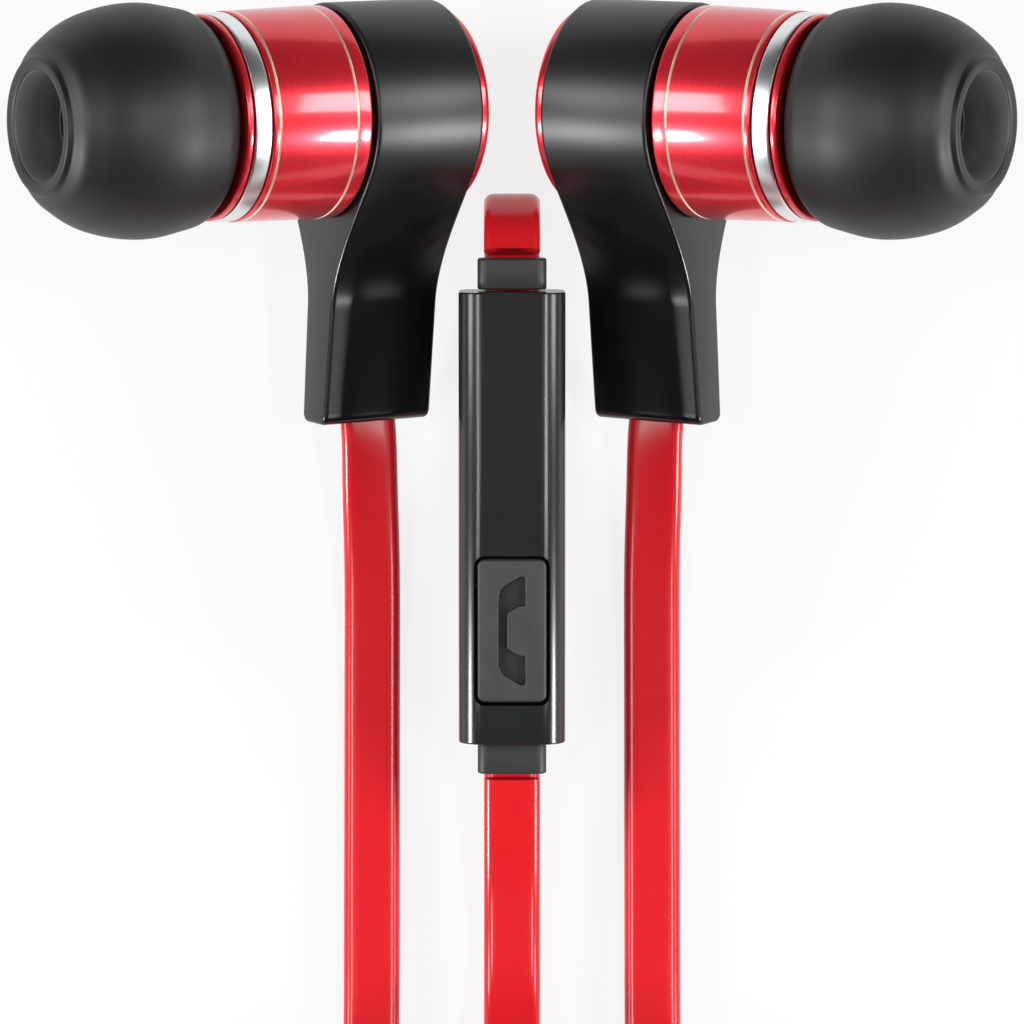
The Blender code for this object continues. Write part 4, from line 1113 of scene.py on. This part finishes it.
class EARPHONES_OT_inner_pieces(bpy.types.Operator):
    """Finish the pieces inside the buds and the remote"""

    bl_idname = "earphones.inner_pieces"
    bl_label = "Inner Pieces"

    def execute(self, context):
        steel = look("driver_steel", polished_metal, (0.56, 0.57, 0.58), 0.30, 0.42)
        film = look("diaphragm_film", moulded_plastic, (0.03, 0.03, 0.035), 0.25, 0.35)
        mesh = look("nozzle_mesh_steel", woven_mesh)
        rubber = rubber_look()
        finish_solid("microphone_capsule", steel)
        finish_solid("remote_board",
                     look("board_green", moulded_plastic, (0.01, 0.12, 0.04), 0.35, 0.45))
        finish_solid("button_switch",
                     look("switch_grey", moulded_plastic, (0.12, 0.12, 0.12), 0.45, 0.55))
        for prefix, _ in SIDES:
            finish_solid(prefix + "driver_frame", steel)
            finish_solid(prefix + "driver_magnet", steel)
            finish_solid(prefix + "driver_diaphragm", film)
            finish_solid(prefix + "nozzle_mesh", mesh)
            finish_solid(prefix + "cable_grommet", rubber)
        return {"FINISHED"}


# ================================================================ stage
def aim(obj, position, target):
    """Set an object at a position with its -Z towards a target and its Y upright."""
    back = (Vector(position) - Vector(target)).normalized()
    right = Vector((0.0, 1.0, 0.0)).cross(back).normalized()
    above = back.cross(right)
    turn = Matrix((right, above, back)).transposed().to_4x4()
    turn.translation = Vector(position)
    obj.matrix_world = turn


def soft_lamp(name, size, energy, position):
    """Hang a rectangular soft lamp and aim it at the earphones."""
    light = bpy.data.lights.new(name, "AREA")
    light.shape = "RECTANGLE"
    light.size, light.size_y = size
    light.energy = energy
    obj = bpy.data.objects.new(name, light)
    aim(obj, position, LAMP_TARGET)
    bpy.context.scene.collection.objects.link(obj)


def math_node(nodes, links, operation, first, second):
    """Join two values, and return the result's socket."""
    node = nodes.new("ShaderNodeMath")
    node.operation = operation
    links.new(first, node.inputs[0])
    if isinstance(second, float):
        node.inputs[1].default_value = second
    else:
        links.new(second, node.inputs[1])
    return node.outputs["Value"]


def white_table(name):
    """Matte grey-white that shows as an even white where it is seen or mirrored."""
    made, nodes, links, shader = surface(name, (0.75, 0.75, 0.75), 0.9)
    shader.inputs["Specular IOR Level"].default_value = 0.0
    glow = nodes.new("ShaderNodeEmission")
    path = nodes.new("ShaderNodeLightPath").outputs
    seen = math_node(nodes, links, "ADD", path["Is Camera Ray"], path["Is Glossy Ray"])
    shown = math_node(nodes, links, "ADD", seen, path["Is Transmission Ray"])
    share = math_node(nodes, links, "MULTIPLY", shown, TABLE_GLOW)
    mix = nodes.new("ShaderNodeMixShader")
    links.new(share, mix.inputs["Fac"])
    links.new(shader.outputs["BSDF"], mix.inputs[1])
    links.new(glow.outputs["Emission"], mix.inputs[2])
    links.new(mix.outputs["Shader"], nodes["Material Output"].inputs["Surface"])
    return made


class EARPHONES_OT_stage(bpy.types.Operator):
    """Set up the table, lamps, world and camera"""

    bl_idname = "earphones.stage"
    bl_label = "Stage"

    def execute(self, context):
        scene = context.scene
        mesh = bpy.data.meshes.new("table")
        corners = np.array([[-1, -1, 0], [1, -1, 0], [1, 1, 0], [-1, 1, 0]]) * TABLE_HALF
        mesh.from_pydata((corners + [0, 0, TABLE_LEVEL]).tolist(), [], [[0, 1, 2, 3]])
        mesh.materials.append(look("white_table", white_table))
        table = bpy.data.objects.new("table", mesh)
        scene.collection.objects.link(table)

        world = bpy.data.worlds.new("studio")
        scene.world = world
        world.use_nodes = True
        background = world.node_tree.nodes["Background"]
        background.inputs["Strength"].default_value = WORLD_STRENGTH
        background.inputs["Color"].default_value = (1.0, 1.0, 1.0, 1.0)
        for lamp in LAMPS:
            soft_lamp(*lamp)

        lens = bpy.data.cameras.new("camera")
        lens.sensor_width = 36.0
        lens.lens = CAMERA_LENS
        lens.clip_start = 0.01
        lens.clip_end = 10.0
        camera = bpy.data.objects.new("camera", lens)
        scene.collection.objects.link(camera)
        direction = np.array([0.0, -math.cos(CAMERA_RISE), math.sin(CAMERA_RISE)])
        position = np.array(CAMERA_TARGET) + CAMERA_DISTANCE * direction
        aim(camera, position.tolist(), CAMERA_TARGET)
        scene.camera = camera
        scene.view_settings.view_transform = "Standard"
        return {"FINISHED"}


class EARPHONES_PT_panel(bpy.types.Panel):
    """Lists the earphones' sizes, colours and pieces"""

    bl_label = "Earphones"
    bl_idname = "EARPHONES_PT_panel"
    bl_space_type = "VIEW_3D"
    bl_region_type = "UI"
    bl_category = "Earphones"

    def draw(self, context):
        layout = self.layout
        for group in (context.scene.earphone_sizes, context.scene.earphone_colours):
            for name in group.__annotations__:
                layout.prop(group, name)
        for operator in PIECES:
            layout.operator(operator.bl_idname)


PIECES = (
    EARPHONES_OT_stage,
    EARPHONES_OT_ear_tips,
    EARPHONES_OT_barrels,
    EARPHONES_OT_housings,
    EARPHONES_OT_remote,
    EARPHONES_OT_call_button,
    EARPHONES_OT_splitter,
    EARPHONES_OT_plug,
    EARPHONES_OT_coil_ties,
    EARPHONES_OT_inner_pieces,
    EARPHONES_OT_cables,
)
CLASSES = (EarphoneSizes, EarphoneColours) + PIECES + (EARPHONES_PT_panel,)


def register():
    """Register the classes and hang the sizes and colours on the scene."""
    for entry in CLASSES:
        bpy.utils.register_class(entry)
    bpy.types.Scene.earphone_sizes = bpy.props.PointerProperty(type=EarphoneSizes)
    bpy.types.Scene.earphone_colours = bpy.props.PointerProperty(type=EarphoneColours)


def unregister():
    """Take the classes and the scene's properties away again."""
    del bpy.types.Scene.earphone_colours
    del bpy.types.Scene.earphone_sizes
    for entry in reversed(CLASSES):
        bpy.utils.unregister_class(entry)


def write_sizes():
    """Bring the view layer up to date."""
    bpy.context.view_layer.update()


def main():
    """Register, then build the stage and every piece in order."""
    register()
    bpy.ops.earphones.stage()
    bpy.ops.earphones.ear_tips()
    bpy.ops.earphones.barrels()
    bpy.ops.earphones.housings()
    bpy.ops.earphones.remote()
    bpy.ops.earphones.call_button()
    bpy.ops.earphones.splitter()
    bpy.ops.earphones.plug()
    bpy.ops.earphones.coil_ties()
    bpy.ops.earphones.inner_pieces()
    bpy.ops.earphones.cables()
    write_sizes()


if __name__ == "__main__":
    main()
